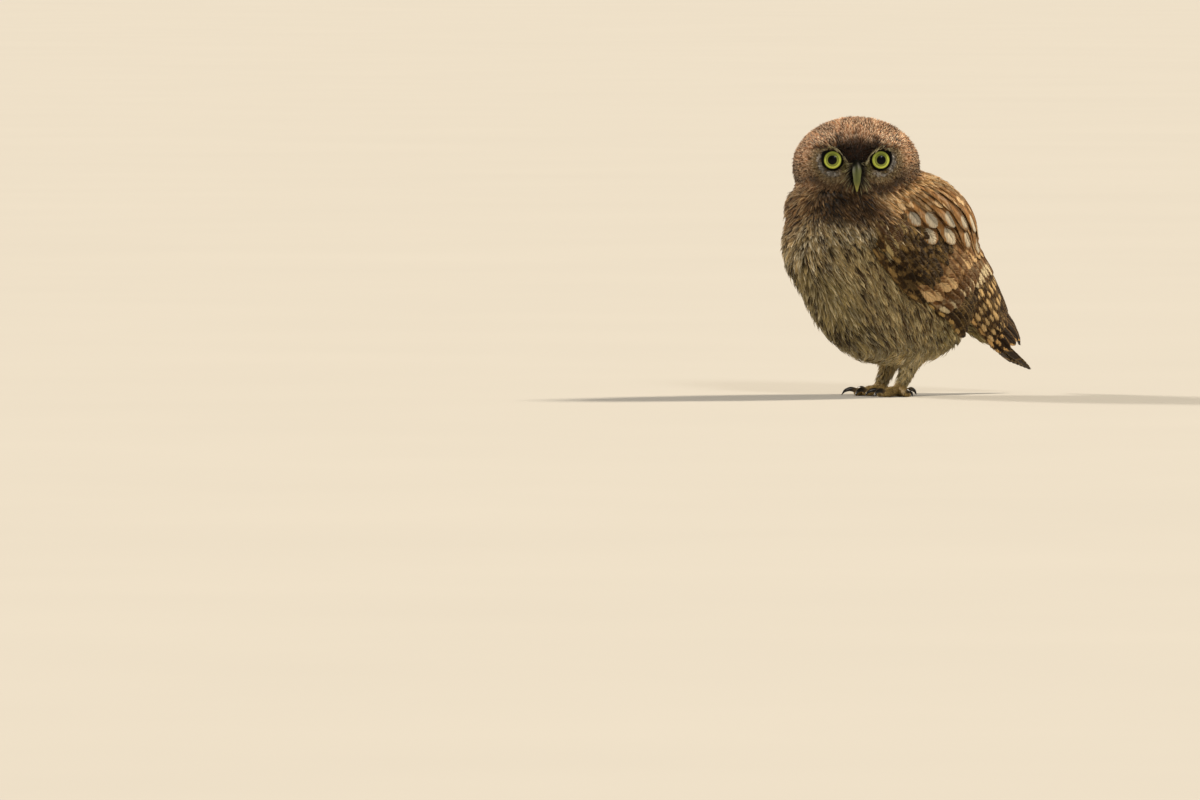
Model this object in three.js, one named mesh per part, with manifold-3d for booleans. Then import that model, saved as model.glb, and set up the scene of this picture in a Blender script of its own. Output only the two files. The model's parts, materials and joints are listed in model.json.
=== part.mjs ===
// A young little owl, life size, standing on the floor with its head turned over its left wing.
// Millimetres, +Z up. The bird's breast faces -Y, its tail points to +Y and its left side is +X.
// Each sub-part is one closed solid, and neighbours meet face to face with a gap of JOIN.
import * as THREE from "three";
import { mergeVertices } from "three/addons/utils/BufferGeometryUtils.js";
import Module from "manifold-3d";

const wasm = await Module();
wasm.setup();

// Driving dimensions
const JOIN = 0.3;
const WELD = 1e-4;
const TINY = 1e-9;
const HALVINGS = 16;
const HEAD_TURN = 56;
const BODY_PITCH = 46;

const HEAD_CENTRE = [0, -20.5, 138];
const HEAD_WIDTH = 77.5;
const HEAD_HEIGHT = 61;
const HEAD_DEPTH = 61;

const EYE_RADIUS = 7.8;
const EYE_SPACING = 27.6;
const EYE_HEIGHT = 4.4;
const EYE_DEPTH = 19;
const EYE_DIVERGENCE = 6;
const LID_RING = 6.5;
const LID_THICKNESS = 1.1;
const EYE_MESH = [20, 12];
const LID_MESH = [6, 20];

const FOOT_SPREAD = 21;
const ANKLE_Y = 4;

const TRUNK = { at: [0, 3, 78], size: [42, 64, 50], pitch: BODY_PITCH };
const BREAST = { at: [0, -28, 90], size: [38.5, 39, 37], pitch: 0 };
const MANTLE = { at: [0, 18, 108], size: [38, 41, 26.5], pitch: 33 };
const BELLY = { at: [0, -8, 58], size: [37, 45, 36], pitch: 34 };
const VENT = { at: [0, 25, 44], size: [28, 25, 21], pitch: 10 };
const RUMP = { at: [0, 48, 70], size: [24, 34, 19], pitch: 54 };
const THROAT = { at: [-8, -26, 114], size: [34, 34, 20], pitch: 0 };
const BODY_BLEND = 9;
const HEAD_BLEND = 4;
const TRUNK_CENTRE = [0, 0, 80];
const TRUNK_POLE = [0, -1, 0.3];
const TRUNK_REACH = 95;
const TRUNK_MESH = { rings: 25, segments: 28 };
const HEAD_REACH = 62;
const HEAD_MESH = { rings: 26, segments: 28, crowding: 1.2 };
const SEARCH_STEP = 2;

const DISC_SPACING = 31;
const DISC_BALL = 19;
const DISC_DEPTH = 7;
const DISC_HEIGHT = 3.4;
const DISC_RIM = 4;
const BROW_BLEND = 6;
const BROW = { out: 12, up: 14.5, in: 8.6, size: [13, 6, 4] };

const BILL_LINE = [[0, -22, 2.5], [0, -30, 0.6], [0, -34.4, -3.4], [0, -35, -8.6], [0, -32.6, -14.4]];
const BILL_RADII = [3.4, 3.4, 3.2, 2.2, 0.35];
const LOWER_BILL_LINE = [[0, -24, -6.4], [0, -29.5, -7.9], [0, -31.8, -10.6], [0, -31.7, -12.9]];
const LOWER_BILL_RADII = [2.8, 2.6, 1.9, 0.5];
const BILL_MESH = { steps: 9, sides: 10 };
const LOWER_BILL_MESH = { steps: 7, sides: 10 };
const CERE_AT = [0, -30.5, -0.4];
const CERE_RADIUS = 3.7;
const NOSTRIL_AT = [2.5, -33, 0.4];
const NOSTRIL_RADIUS = 0.8;
const CERE_MESH = [10, 8];
const NOSTRIL_MESH = [8, 6];

const CHIN_HEIGHT = 121;
const CHIN_SLOPE = 12;
const NECK_HEIGHT = 109;
const NECK_SLOPE = 17;

const SHOULDER = [0, -14, 112];
const WING_PITCH = 38.5;
const WING_START = -7;
const WING_END = 116;
const WING_UPPER = [70, 46, 37, 33, 31, 30, 30, 32, 36];
const WING_LOWER = [106, 124, 130, 130, 126, 120, 110, 98, 84];
const WING_THICKNESS = 1.8;
const WING_EDGE = 1.1;
const WING_CROWN = 0.5;
const WING_ENDS = { start: 0.06, slope: 3 };
const WING_MESH = { rows: 10, columns: 6 };
const WING_SEARCH = 70;
// Past the flank the left wing's tip hangs beside the tail, and the right wing's lies over it.
const WING_DROOP = { start: 66, reach: 68, left: 1, right: 0 };
const WING_BLEND = 12;
const TAPER = { at: [0, 56, 56], size: [20, 62, 17], pitch: 47 };

// Each tier of wing feathers runs from its first feather to its last: where the roots and the
// tips lie (millimetres towards the wing tip, degrees round from the back) and how wide each is.
const WING_TIERS = [
  { count: 5, roots: [[66, 98], [68, 116]], tips: [[139, 26], [128, 84]], widths: [8, 9], rise: 1.4 },
  { count: 6, roots: [[60, 38], [62, 106]], tips: [[108, 30], [111, 88]], widths: [11, 11], rise: 2.1 },
  { count: 6, roots: [[40, 42], [42, 122]], tips: [[81, 36], [83, 112]], widths: [14, 12], rise: 2.7 },
  { count: 6, roots: [[17, 50], [14, 120]], tips: [[54, 42], [50, 122]], widths: [14, 12], rise: 2.9 },
  { count: 4, roots: [[2, 66], [-2, 98]], tips: [[30, 46], [26, 100]], widths: [15, 14], rise: 2.6 },
];
const VANE_THICKNESS = 0.55;
const VANE_TILT = 1.3;
const VANE_SUNK = 1.2;
const VANE_LIFT = 0.7;
const VANE_STATIONS = [0, 0.4, 0.82, 1];
const VANE_WIDTHS = [0.6, 1, 0.92, 0.34];

const TAIL_ROOT = [0, 50, 54];
const TAIL_TIP = [0, 106.5, 12.8];
const TAIL_CORE = { share: 0.5, widths: [20, 26], thicknesses: [13, 1.6], taper: 0.7, rings: 6, sides: 12 };
const TAIL_FEATHERS = { pairs: 6, width: 9, tilt: 0.9, start: 0.25, top: 2, topTip: 1 };
// Between one pair of tail feathers and the next: how far lower, further out and shorter it lies.
const TAIL_STEP = { down: 0.5, out: 1.35, outAtRoot: 0.55, shorter: 1.3 };

const SHANK_LINE = [[1, 14, 36], [0, 9, 22], [0, 4, 12], [0, 0.5, 6]];
const SHANK_RADII = [9, 6.5, 4.8, 4];
const SHANK_MESH = { steps: 10, sides: 14 };
const ANKLE_RADIUS = 4.2;
const ANKLE_MESH = [10, 8];
const SOLE_DEPTH = 0.8;
const TOE_HEIGHTS = [4.2, 3.2, 2.3, 1.9];
const TOE_RADII = [3.4, 2.9, 2.6, 2.5];
const TOE_MESH = { steps: 5, sides: 6 };
const TOES = [
  { turn: -14, length: 14, clawLength: 8 },
  { turn: 16, length: 16, clawLength: 8 },
  { turn: 78, length: 13, clawLength: 7 },
  { turn: 196, length: 9, clawLength: 7 },
];
const CLAW_LINE = [[-0.2, 3], [0.3, 4], [0.75, 2.9], [1, 0.7]];
const CLAW_RADII = [1.5, 1.4, 1, 0.25];
const CLAW_MESH = { steps: 4, sides: 6 };

const degrees = THREE.MathUtils.degToRad;
const lerp = THREE.MathUtils.lerp;
const vector = (xyz) => new THREE.Vector3(...xyz);

// A value between evenly spaced stations, t running from 0 to 1.
function between(stations, t) {
  const place = THREE.MathUtils.clamp(t, 0, 1) * (stations.length - 1);
  const i = Math.min(Math.floor(place), stations.length - 2);
  return lerp(stations[i], stations[i + 1], place - i);
}

// Shapes as fields: negative inside, about the distance in millimetres outside.

function ellipsoid({ at, size, pitch = 0 }) {
  const turn = degrees(pitch);
  const cosine = Math.cos(turn);
  const sine = Math.sin(turn);
  return (p) => {
    const y = p.y - at[1];
    const z = p.z - at[2];
    const q = [p.x - at[0], y * cosine - z * sine, y * sine + z * cosine];
    const near = Math.hypot(...q.map((v, i) => v / size[i]));
    const slope = Math.hypot(...q.map((v, i) => v / size[i] ** 2));
    return slope < TINY ? -Math.min(...size) : (near * (near - 1)) / slope;
  };
}

// The union of some fields with their creases filled to about the given radius.
function blended(radius, ...fields) {
  return (p) =>
    fields
      .map((field) => field(p))
      .reduce((a, b) => {
        const overlap = Math.max(radius - Math.abs(a - b), 0) / radius;
        return Math.min(a, b) - (overlap * overlap * radius) / 4;
      });
}

// One field with another taken out of it, and the rim of the cut rounded.
function hollowed(radius, field, taken) {
  return (p) => {
    const a = field(p);
    const b = -taken(p);
    const overlap = Math.max(radius - Math.abs(a - b), 0) / radius;
    return Math.max(a, b) + (overlap * overlap * radius) / 4;
  };
}

// Solids

function solid(geometry) {
  const bare = geometry.clone();
  bare.deleteAttribute("normal");
  bare.deleteAttribute("uv");
  const merged = mergeVertices(bare, WELD);
  const mesh = { numProp: 3, vertProperties: merged.attributes.position.array };
  mesh.triVerts = new Uint32Array(merged.index.array);
  return new wasm.Manifold(new wasm.Mesh(mesh));
}

function geometryOf(body) {
  const { numProp, numVert, vertProperties, triVerts } = body.getMesh();
  const places = new Float32Array(numVert * 3);
  for (let i = 0; i < numVert; i++) {
    places.set(vertProperties.subarray(i * numProp, i * numProp + 3), i * 3);
  }
  const geometry = new THREE.BufferGeometry();
  geometry.setAttribute("position", new THREE.BufferAttribute(places, 3));
  geometry.setIndex(new THREE.BufferAttribute(triVerts.slice(), 1));
  geometry.computeVertexNormals();
  return geometry;
}

// The largest closed surface of a solid, which drops loose scraps and fills sealed hollows.
function largest(body) {
  return body.decompose().reduce((a, b) => (b.volume() > a.volume() ? b : a));
}

// A closed solid through rings of points, with a fan over each end.
// The quads from split onwards take the other diagonal, so that both faces of a thin ring split alike.
function skinned(rings, split = Infinity) {
  const around = rings[0].length;
  const points = rings.flat();
  const faces = [];
  for (let i = 0; i < rings.length - 1; i++) {
    for (let j = 0; j < around; j++) {
      const a = i * around + j;
      const b = i * around + ((j + 1) % around);
      const c = a + around;
      const d = b + around;
      faces.push(...(j < split ? [a, b, d, a, d, c] : [a, b, c, b, d, c]));
    }
  }
  const middle = (ring) =>
    ring.reduce((sum, p) => sum.add(p), new THREE.Vector3()).divideScalar(around);
  const last = (rings.length - 1) * around;
  points.push(middle(rings[0]), middle(rings.at(-1)));
  for (let j = 0; j < around; j++) {
    const k = (j + 1) % around;
    faces.push(points.length - 2, k, j, points.length - 1, last + j, last + k);
  }
  const volume = faces.reduce((sum, _, i) => {
    if (i % 3) return sum;
    const [a, b, c] = faces.slice(i, i + 3).map((f) => points[f]);
    return sum + a.dot(new THREE.Vector3().crossVectors(b, c));
  }, 0);
  if (volume < 0) faces.reverse();
  const geometry = new THREE.BufferGeometry().setFromPoints(points);
  geometry.setIndex(faces);
  return solid(geometry);
}

// The surface of a field as seen from a centre, in rings about a pole, out to a reach at most.
// A crowding over 1 draws the rings together towards the pole.
function starSolid({ centre, pole, rings, segments, field, reach, crowding = 1, grow = 0 }) {
  const from = vector(centre);
  const turn = new THREE.Quaternion().setFromUnitVectors(
    new THREE.Vector3(0, 0, 1),
    vector(pole).normalize(),
  );
  const place = (direction) => {
    const at = (r) => field(from.clone().addScaledVector(direction, r));
    let inside = 0;
    while (inside < reach && at(inside + SEARCH_STEP) < 0) inside += SEARCH_STEP;
    let outside = inside + SEARCH_STEP;
    for (let i = 0; i < HALVINGS; i++) {
      const middle = (inside + outside) / 2;
      if (at(middle) < 0) inside = middle;
      else outside = middle;
    }
    return from.clone().addScaledVector(direction, Math.min(inside, reach) + grow);
  };
  const ring = (i) => {
    const polar = Math.PI * ((i + 0.5) / rings) ** crowding;
    return Array.from({ length: segments }, (_, j) => {
      const round = (2 * Math.PI * j) / segments;
      const direction = new THREE.Vector3().setFromSphericalCoords(1, polar, round);
      direction.set(direction.z, direction.x, direction.y).applyQuaternion(turn);
      return place(direction);
    });
  };
  return skinned(Array.from({ length: rings }, (_, i) => ring(i)));
}

// A round limb along a smooth line, its radii given at even steps.
function limb({ line, radii, steps, sides }) {
  const curve = new THREE.CatmullRomCurve3(line.map(vector), false, "centripetal");
  const frames = curve.computeFrenetFrames(steps, false);
  const rings = Array.from({ length: steps + 1 }, (_, i) => {
    const centre = curve.getPointAt(i / steps);
    const radius = between(radii, i / steps);
    return Array.from({ length: sides }, (_, j) => {
      const round = (2 * Math.PI * j) / sides;
      return centre
        .clone()
        .addScaledVector(frames.normals[i], Math.cos(round) * radius)
        .addScaledVector(frames.binormals[i], Math.sin(round) * radius);
    });
  });
  return skinned(rings);
}

// A block that fills one side of a plane, for parting a solid.
function halfSpace(point, normal) {
  const size = 400;
  const block = new THREE.BoxGeometry(size, size, size);
  block.translate(0, 0, size / 2);
  const turn = new THREE.Quaternion().setFromUnitVectors(
    new THREE.Vector3(0, 0, 1),
    vector(normal).normalize(),
  );
  block.applyQuaternion(turn).translate(...point);
  return solid(block);
}

const trunkField = blended(
  BODY_BLEND,
  ...[TRUNK, BREAST, MANTLE, BELLY, VENT, RUMP, THROAT].map(ellipsoid),
);

// The head in its own frame faces -Y, with its centre at the origin.
const HEAD_PLACE = new THREE.Matrix4()
  .makeRotationZ(degrees(HEAD_TURN))
  .setPosition(...HEAD_CENTRE);
const INTO_HEAD = HEAD_PLACE.clone().invert();
const onHead = (xyz) => vector(xyz).applyMatrix4(HEAD_PLACE).toArray();
const FACE = vector([0, -1, 0]).transformDirection(HEAD_PLACE).toArray();

const skull = ellipsoid({
  at: [0, 0, 0],
  size: [HEAD_WIDTH / 2, HEAD_DEPTH / 2, HEAD_HEIGHT / 2],
});
const discBowl = (side) =>
  ellipsoid({
    at: [(side * DISC_SPACING) / 2, -HEAD_DEPTH / 2 - DISC_BALL + DISC_DEPTH, DISC_HEIGHT],
    size: [DISC_BALL, DISC_BALL, DISC_BALL],
  });
const brow = (side) =>
  ellipsoid({ at: [side * BROW.out, -HEAD_DEPTH / 2 + BROW.in, BROW.up], size: BROW.size });
const discBowls = [-1, 1].map(discBowl);
const faceField = blended(
  BROW_BLEND,
  hollowed(DISC_RIM, skull, (p) => Math.min(...discBowls.map((bowl) => bowl(p)))),
  brow(-1),
  brow(1),
);
const headField = (p) => faceField(new THREE.Vector3(p.x, p.y, p.z).applyMatrix4(INTO_HEAD));
const bodyField = blended(HEAD_BLEND, trunkField, headField);

// The plumage without wings and tail, as seen from the trunk's centre and from the head's,
// swollen by a distance.
const trunkSolid = (grow) =>
  starSolid({
    centre: TRUNK_CENTRE,
    pole: TRUNK_POLE,
    field: bodyField,
    reach: TRUNK_REACH,
    grow,
    ...TRUNK_MESH,
  });
const headSolid = (grow) =>
  starSolid({
    centre: HEAD_CENTRE,
    pole: FACE,
    field: bodyField,
    reach: HEAD_REACH,
    grow,
    ...HEAD_MESH,
  });
const trunkSwollen = trunkSolid(JOIN);
const headSwollen = headSolid(JOIN);
const clearOfBody = (body) => body.subtract(trunkSwollen).subtract(headSwollen);

// The folded wing lies on the trunk and on a taper behind it that runs down over the tail.
const wingField = blended(WING_BLEND, trunkField, ellipsoid(TAPER));
const ALONG = new THREE.Vector3(0, Math.cos(degrees(WING_PITCH)), -Math.sin(degrees(WING_PITCH)));
const DORSAL = new THREE.Vector3(0, Math.sin(degrees(WING_PITCH)), Math.cos(degrees(WING_PITCH)));

// A place on the wing's surface: millimetres from the shoulder towards the tip, degrees round
// from the middle of the back, and millimetres above the surface. Side is 1 on the left.
function onWing(side, along, round, lift) {
  const axis = vector(SHOULDER).addScaledVector(ALONG, along);
  const past = Math.max(0, along - WING_DROOP.start) / WING_DROOP.reach;
  const droop = past ** 2 * (side > 0 ? WING_DROOP.left : WING_DROOP.right);
  const back = WING_UPPER.at(-1);
  const turn = degrees(back + (round - back) * (1 + droop));
  const out = DORSAL.clone().multiplyScalar(Math.cos(turn));
  out.x = side * Math.sin(turn);
  let inside = 0;
  let outside = WING_SEARCH;
  for (let i = 0; i < HALVINGS; i++) {
    const middle = (inside + outside) / 2;
    if (wingField(axis.clone().addScaledVector(out, middle)) < 0) inside = middle;
    else outside = middle;
  }
  return axis.addScaledVector(out, inside + lift);
}

// How far the wing's body stands above the surface, none outside its edges.
function wingHeight(along, round) {
  const t = (along - WING_START) / (WING_END - WING_START);
  const upper = between(WING_UPPER, t);
  const v = (round - upper) / (between(WING_LOWER, t) - upper);
  if (t < 0 || t > 1 || v < 0 || v > 1) return WING_EDGE;
  const crown = Math.sin(Math.PI * v) ** WING_CROWN;
  const rounding = Math.min(1, WING_ENDS.start + WING_ENDS.slope * Math.min(t, 1 - t));
  return WING_EDGE + WING_THICKNESS * crown * Math.sin((Math.PI / 2) * rounding);
}

function wingCore(side) {
  const { rows, columns } = WING_MESH;
  const rings = Array.from({ length: rows + 1 }, (_, i) => {
    const t = i / rows;
    const along = lerp(WING_START, WING_END, t);
    const sheet = (lift) =>
      Array.from({ length: columns + 1 }, (_, j) => {
        const round = lerp(between(WING_UPPER, t), between(WING_LOWER, t), j / columns);
        return onWing(side, along, round, lift(wingHeight(along, round)));
      });
    return [...sheet((height) => height), ...sheet((height) => -height).reverse()];
  });
  return skinned(rings, columns + 1);
}

// A thin flat feather along a path of places with outward directions. Its tilt is how much
// further out one edge lies than the other.
function vane(path, width, tilt) {
  const rings = path.map(({ place, out }, i) => {
    const ahead = path[Math.min(i + 1, path.length - 1)].place;
    const behind = path[Math.max(i - 1, 0)].place;
    const across = new THREE.Vector3().subVectors(ahead, behind).cross(out).normalize();
    const half = (width * VANE_WIDTHS[i]) / 2;
    const corner = (edge, face) =>
      place
        .clone()
        .addScaledVector(across, edge * half)
        .addScaledVector(out, (edge * tilt * VANE_WIDTHS[i] + face * VANE_THICKNESS) / 2);
    return [corner(-1, 1), corner(1, 1), corner(1, -1), corner(-1, -1)];
  });
  return skinned(rings, 2);
}

// One tier of a folded wing: each feather's root is sunk in the wing and its tip stands clear.
function wingTier(side, { count, roots, tips, widths, rise }) {
  const mix = (a, b, t) => a.map((v, k) => lerp(v, b[k], t));
  return Array.from({ length: count }, (_, i) => {
    const share = i / (count - 1);
    const root = mix(...roots, share);
    const tip = mix(...tips, share);
    const path = VANE_STATIONS.map((t) => {
      const [along, round] = mix(root, tip, t);
      const lift = wingHeight(along, round) - VANE_SUNK + (VANE_SUNK + rise) * t ** VANE_LIFT;
      const place = onWing(side, along, round, lift);
      const out = onWing(side, along, round, lift + 1).sub(place).normalize();
      return { place, out };
    });
    return vane(path, lerp(...widths, share), side * VANE_TILT);
  });
}

const owl = new THREE.Group();
const material = (color, roughness, metalness = 0) =>
  new THREE.MeshStandardMaterial({ color, roughness, metalness });
const plumageBrown = material(0x8a6a4c, 0.9);
const wingBrown = material(0x6e4e36, 0.85);
const legBuff = material(0xcdbf9f, 0.9);
const iris = material(0xb9c832, 0.1);
const horn = material(0x8f9350, 0.45);
const claw = material(0x2b2724, 0.35);

function add(name, body, finish) {
  const mesh = new THREE.Mesh(geometryOf(largest(body)), finish);
  mesh.name = name;
  owl.add(mesh);
}

// The plumage is parted into head, neck and torso by two thin sloping cuts.
function addPlumage() {
  const above = (height, slope, gap) =>
    halfSpace([0, HEAD_CENTRE[1], height + gap], [0, -Math.sin(degrees(slope)), Math.cos(degrees(slope))]);
  const headCut = (gap) => above(CHIN_HEIGHT, CHIN_SLOPE, gap);
  const neckCut = (gap) => above(NECK_HEIGHT, NECK_SLOPE, gap);
  const trunk = trunkSolid(0);
  let head = headSolid(0).intersect(headCut(JOIN / 2));
  const neck = trunk.subtract(headCut(-JOIN / 2)).intersect(neckCut(JOIN / 2));
  const torso = trunk.subtract(neckCut(-JOIN / 2));
  for (const side of [-1, 1]) {
    head = head.add(lid(side)).subtract(eyeball(side, JOIN));
    add(side < 0 ? "eye_right" : "eye_left", eyeball(side, 0), iris);
  }
  add("head", head, plumageBrown);
  add("neck", neck, plumageBrown);
  add("torso", torso, plumageBrown);
}

const eyeCentre = (side) => [(side * EYE_SPACING) / 2, -EYE_DEPTH, EYE_HEIGHT];
const eyeAxis = (side) => {
  const turn = degrees(EYE_DIVERGENCE);
  return new THREE.Vector3(side * Math.sin(turn), -Math.cos(turn), 0);
};

function eyeball(side, grow) {
  const ball = new THREE.SphereGeometry(EYE_RADIUS + grow, ...EYE_MESH);
  ball.translate(...eyeCentre(side)).applyMatrix4(HEAD_PLACE);
  return solid(ball);
}

// The rim of the eyelids, a ring round the eye's opening.
function lid(side) {
  const ring = new THREE.TorusGeometry(LID_RING, LID_THICKNESS, ...LID_MESH);
  const axis = eyeAxis(side);
  const forward = Math.sqrt(EYE_RADIUS ** 2 - LID_RING ** 2) + LID_THICKNESS / 2;
  const turn = new THREE.Quaternion().setFromUnitVectors(new THREE.Vector3(0, 0, 1), axis);
  const at = vector(eyeCentre(side)).addScaledVector(axis, forward);
  ring.applyQuaternion(turn).translate(at.x, at.y, at.z).applyMatrix4(HEAD_PLACE);
  return solid(ring);
}

function addBill() {
  const upper = (grow) =>
    limb({
      line: BILL_LINE.map(onHead),
      radii: BILL_RADII.map((r) => r + grow),
      ...BILL_MESH,
    });
  const lower = limb({
    line: LOWER_BILL_LINE.map(onHead),
    radii: LOWER_BILL_RADII,
    ...LOWER_BILL_MESH,
  });
  const cere = new THREE.SphereGeometry(CERE_RADIUS, ...CERE_MESH);
  cere.translate(...CERE_AT).applyMatrix4(HEAD_PLACE);
  let mandible = clearOfBody(upper(0).add(solid(cere)));
  for (const side of [-1, 1]) {
    const nostril = new THREE.SphereGeometry(NOSTRIL_RADIUS, ...NOSTRIL_MESH);
    nostril.translate(side * NOSTRIL_AT[0], NOSTRIL_AT[1], NOSTRIL_AT[2]).applyMatrix4(HEAD_PLACE);
    mandible = mandible.subtract(solid(nostril));
  }
  add("bill_upper", mandible, horn);
  add("bill_lower", clearOfBody(lower.subtract(upper(JOIN))), horn);
}

function addWings() {
  for (const side of [-1, 1]) {
    const tiers = WING_TIERS.flatMap((tier) => wingTier(side, tier));
    const wing = tiers.reduce((a, b) => a.add(b), wingCore(side));
    add(side < 0 ? "wing_right" : "wing_left", clearOfBody(wing), wingBrown);
  }
}

// The tail coverts are a tapering core, and the tail feathers fan out of it in pairs, the middle
// pair on top and each pair under the one inside it.
function addTail() {
  const root = vector(TAIL_ROOT);
  const reach = vector(TAIL_TIP).sub(root);
  const up = new THREE.Vector3(0, -reach.z, reach.y).normalize();
  let tail = tailCore(root, reach, up);
  for (let pair = 0; pair < TAIL_FEATHERS.pairs; pair++) {
    for (const side of [-1, 1]) {
      tail = tail.add(tailFeather(root, reach, up, pair, side));
    }
  }
  add("tail", clearOfBody(tail), wingBrown);
}

function tailCore(root, reach, up) {
  const { share, widths, thicknesses, taper, rings, sides } = TAIL_CORE;
  return skinned(
    Array.from({ length: rings + 1 }, (_, i) => {
      const t = i / rings;
      const half = (lerp(...widths, t) / 2) * (1 - taper * t ** 4);
      const thick = lerp(...thicknesses, t ** taper) / 2;
      return Array.from({ length: sides }, (_, j) => {
        const round = (2 * Math.PI * j) / sides;
        const place = root.clone().addScaledVector(reach, t * share);
        place.addScaledVector(up, Math.sin(round) * thick);
        place.x += Math.cos(round) * half;
        return place;
      });
    }),
  );
}

function tailFeather(root, reach, up, pair, side) {
  const { width, tilt, start, top, topTip } = TAIL_FEATHERS;
  const out = (pair + 0.5) * side * TAIL_STEP.out;
  const end = 1 - (pair * TAIL_STEP.shorter) / reach.length();
  const path = VANE_STATIONS.map((t) => {
    const place = root.clone().addScaledVector(reach, lerp(start, end, t));
    place.x += out * lerp(TAIL_STEP.outAtRoot, 1, t);
    place.addScaledVector(up, lerp(top, topTip, t) - pair * TAIL_STEP.down * t);
    return { place, out: up };
  });
  return vane(path, width, -side * tilt);
}

function addLegs() {
  for (const side of [-1, 1]) {
    const name = side < 0 ? "right" : "left";
    const x = (side * FOOT_SPREAD) / 2;
    const shank = (grow) =>
      limb({
        line: SHANK_LINE.map(([inward, y, z]) => [x - side * inward, y + ANKLE_Y, z]),
        radii: SHANK_RADII.map((r) => r + grow),
        ...SHANK_MESH,
      });
    add("leg_" + name, clearOfBody(shank(0)), legBuff);
    addFoot(name, side, x, shank(JOIN));
  }
}

// Two toes point forward, the outer one to the side and the first toe back. The soles are cut
// flat by the floor.
function addFoot(name, side, x, shank) {
  const floor = halfSpace([0, 0, 0], [0, 0, 1]);
  const ball = new THREE.SphereGeometry(ANKLE_RADIUS, ...ANKLE_MESH);
  ball.rotateX(Math.PI / 2).translate(x, ANKLE_Y, ANKLE_RADIUS - SOLE_DEPTH);
  let foot = solid(ball);
  TOES.forEach(({ turn, length, clawLength }, i) => {
    const heading = degrees(turn) * side;
    const along = (d, z) => [x + Math.sin(heading) * d, ANKLE_Y - Math.cos(heading) * d, z];
    const toe = (grow) =>
      limb({
        line: TOE_HEIGHTS.map((z, k) => along((length * k) / (TOE_HEIGHTS.length - 1), z)),
        radii: TOE_RADII.map((r) => r + grow),
        ...TOE_MESH,
      });
    const nail = limb({
      line: CLAW_LINE.map(([d, z]) => along(length + d * clawLength, z)),
      radii: CLAW_RADII,
      ...CLAW_MESH,
    });
    foot = foot.add(toe(0));
    add("claw_" + name + "_" + (i + 1), nail.subtract(toe(JOIN)).intersect(floor), claw);
  });
  add("foot_" + name, foot.intersect(floor).subtract(shank), legBuff);
}

addPlumage();
addBill();
addWings();
addTail();
addLegs();

// The origin is under the middle of the whole bird, on the floor.
const bounds = new THREE.Box3().setFromObject(owl);
const middle = bounds.getCenter(new THREE.Vector3());
owl.position.set(-middle.x, -middle.y, -bounds.min.z);

export default owl;
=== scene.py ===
"""A young little owl in full plumage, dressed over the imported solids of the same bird.

All shapes are worked out in the bird's own axes in millimetres: the breast faces -Y, the tail points to +Y,
the bird's left side is +X and the floor is at Z 0. Stance places them in the frame, in metres.
"""

import json
import logging
import math
from dataclasses import dataclass, field, replace
from enum import Enum

import bpy
import numpy as np
from mathutils import Matrix, Vector


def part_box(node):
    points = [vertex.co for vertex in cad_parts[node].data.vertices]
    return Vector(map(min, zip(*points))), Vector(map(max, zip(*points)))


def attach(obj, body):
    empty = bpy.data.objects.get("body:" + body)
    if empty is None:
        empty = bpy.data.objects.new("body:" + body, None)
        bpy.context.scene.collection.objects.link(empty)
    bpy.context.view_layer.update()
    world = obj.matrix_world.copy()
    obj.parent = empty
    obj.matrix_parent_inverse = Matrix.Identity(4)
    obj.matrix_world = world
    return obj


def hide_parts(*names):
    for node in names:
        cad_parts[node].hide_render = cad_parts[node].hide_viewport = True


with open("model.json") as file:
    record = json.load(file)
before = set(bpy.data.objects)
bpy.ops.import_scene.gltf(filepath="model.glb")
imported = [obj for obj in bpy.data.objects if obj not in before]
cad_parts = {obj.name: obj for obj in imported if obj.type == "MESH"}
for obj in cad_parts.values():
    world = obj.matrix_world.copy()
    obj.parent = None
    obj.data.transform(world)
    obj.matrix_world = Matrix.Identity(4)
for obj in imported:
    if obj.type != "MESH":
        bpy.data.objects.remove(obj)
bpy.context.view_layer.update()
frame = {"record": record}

Array = np.ndarray
LOG = logging.getLogger("owl")
MILLIMETRE = 0.001
TINY = 1e-9
BAKE_PATCH = 0.003
BUMP_DEPTH = 0.0002
SEEDS = {"coat": 11, "wings": 5, "tail": 3, "bristles": 21, "brows": 31, "ledge": 37}


class Side(Enum):
    """A side of the bird, as the sign of X."""

    LEFT = 1
    RIGHT = -1

    @property
    def word(self) -> str:
        """The side's name in lower case."""
        return self.name.lower()


def unit(vectors: Array) -> Array:
    """Gives vectors the length 1."""
    return vectors / np.maximum(np.linalg.norm(vectors, axis=-1, keepdims=True), TINY)


def mix(first: Array, second: Array, share: Array) -> Array:
    """Goes from the first value to the second as share goes from 0 to 1."""
    return first + (second - first) * share


def ramp(start: float, end: float, value: Array) -> Array:
    """A smooth ramp from 0 at start to 1 at end, whichever of the two is larger."""
    t = np.clip((value - start) / (end - start), 0, 1)
    return t * t * (3 - 2 * t)


def stations(values: tuple, share: Array) -> Array:
    """Reads a row of evenly spaced values."""
    return np.interp(share, np.linspace(0, 1, len(values)), values)


def patchy(p: Array, seed: float = 0.0) -> Array:
    """Smooth random values over space, uneven at about one unit.

    Args:
        p: Places of two or three coordinates.
        seed: Chooses another pattern.

    Returns:
        Values from 0 to 1.
    """
    cell = np.floor(p)
    f = p - cell
    f = f * f * (3 - 2 * f)
    size = p.shape[-1]
    total = np.zeros(p.shape[:-1])
    for corner in np.ndindex(*(2,) * size):
        chance = np.sin((cell + corner) @ np.array([12.9898, 78.233, 37.719])[:size] + seed) * 43758.5453 % 1
        total += chance * np.prod(np.where(corner, f, 1 - f), -1)
    return total


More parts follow.
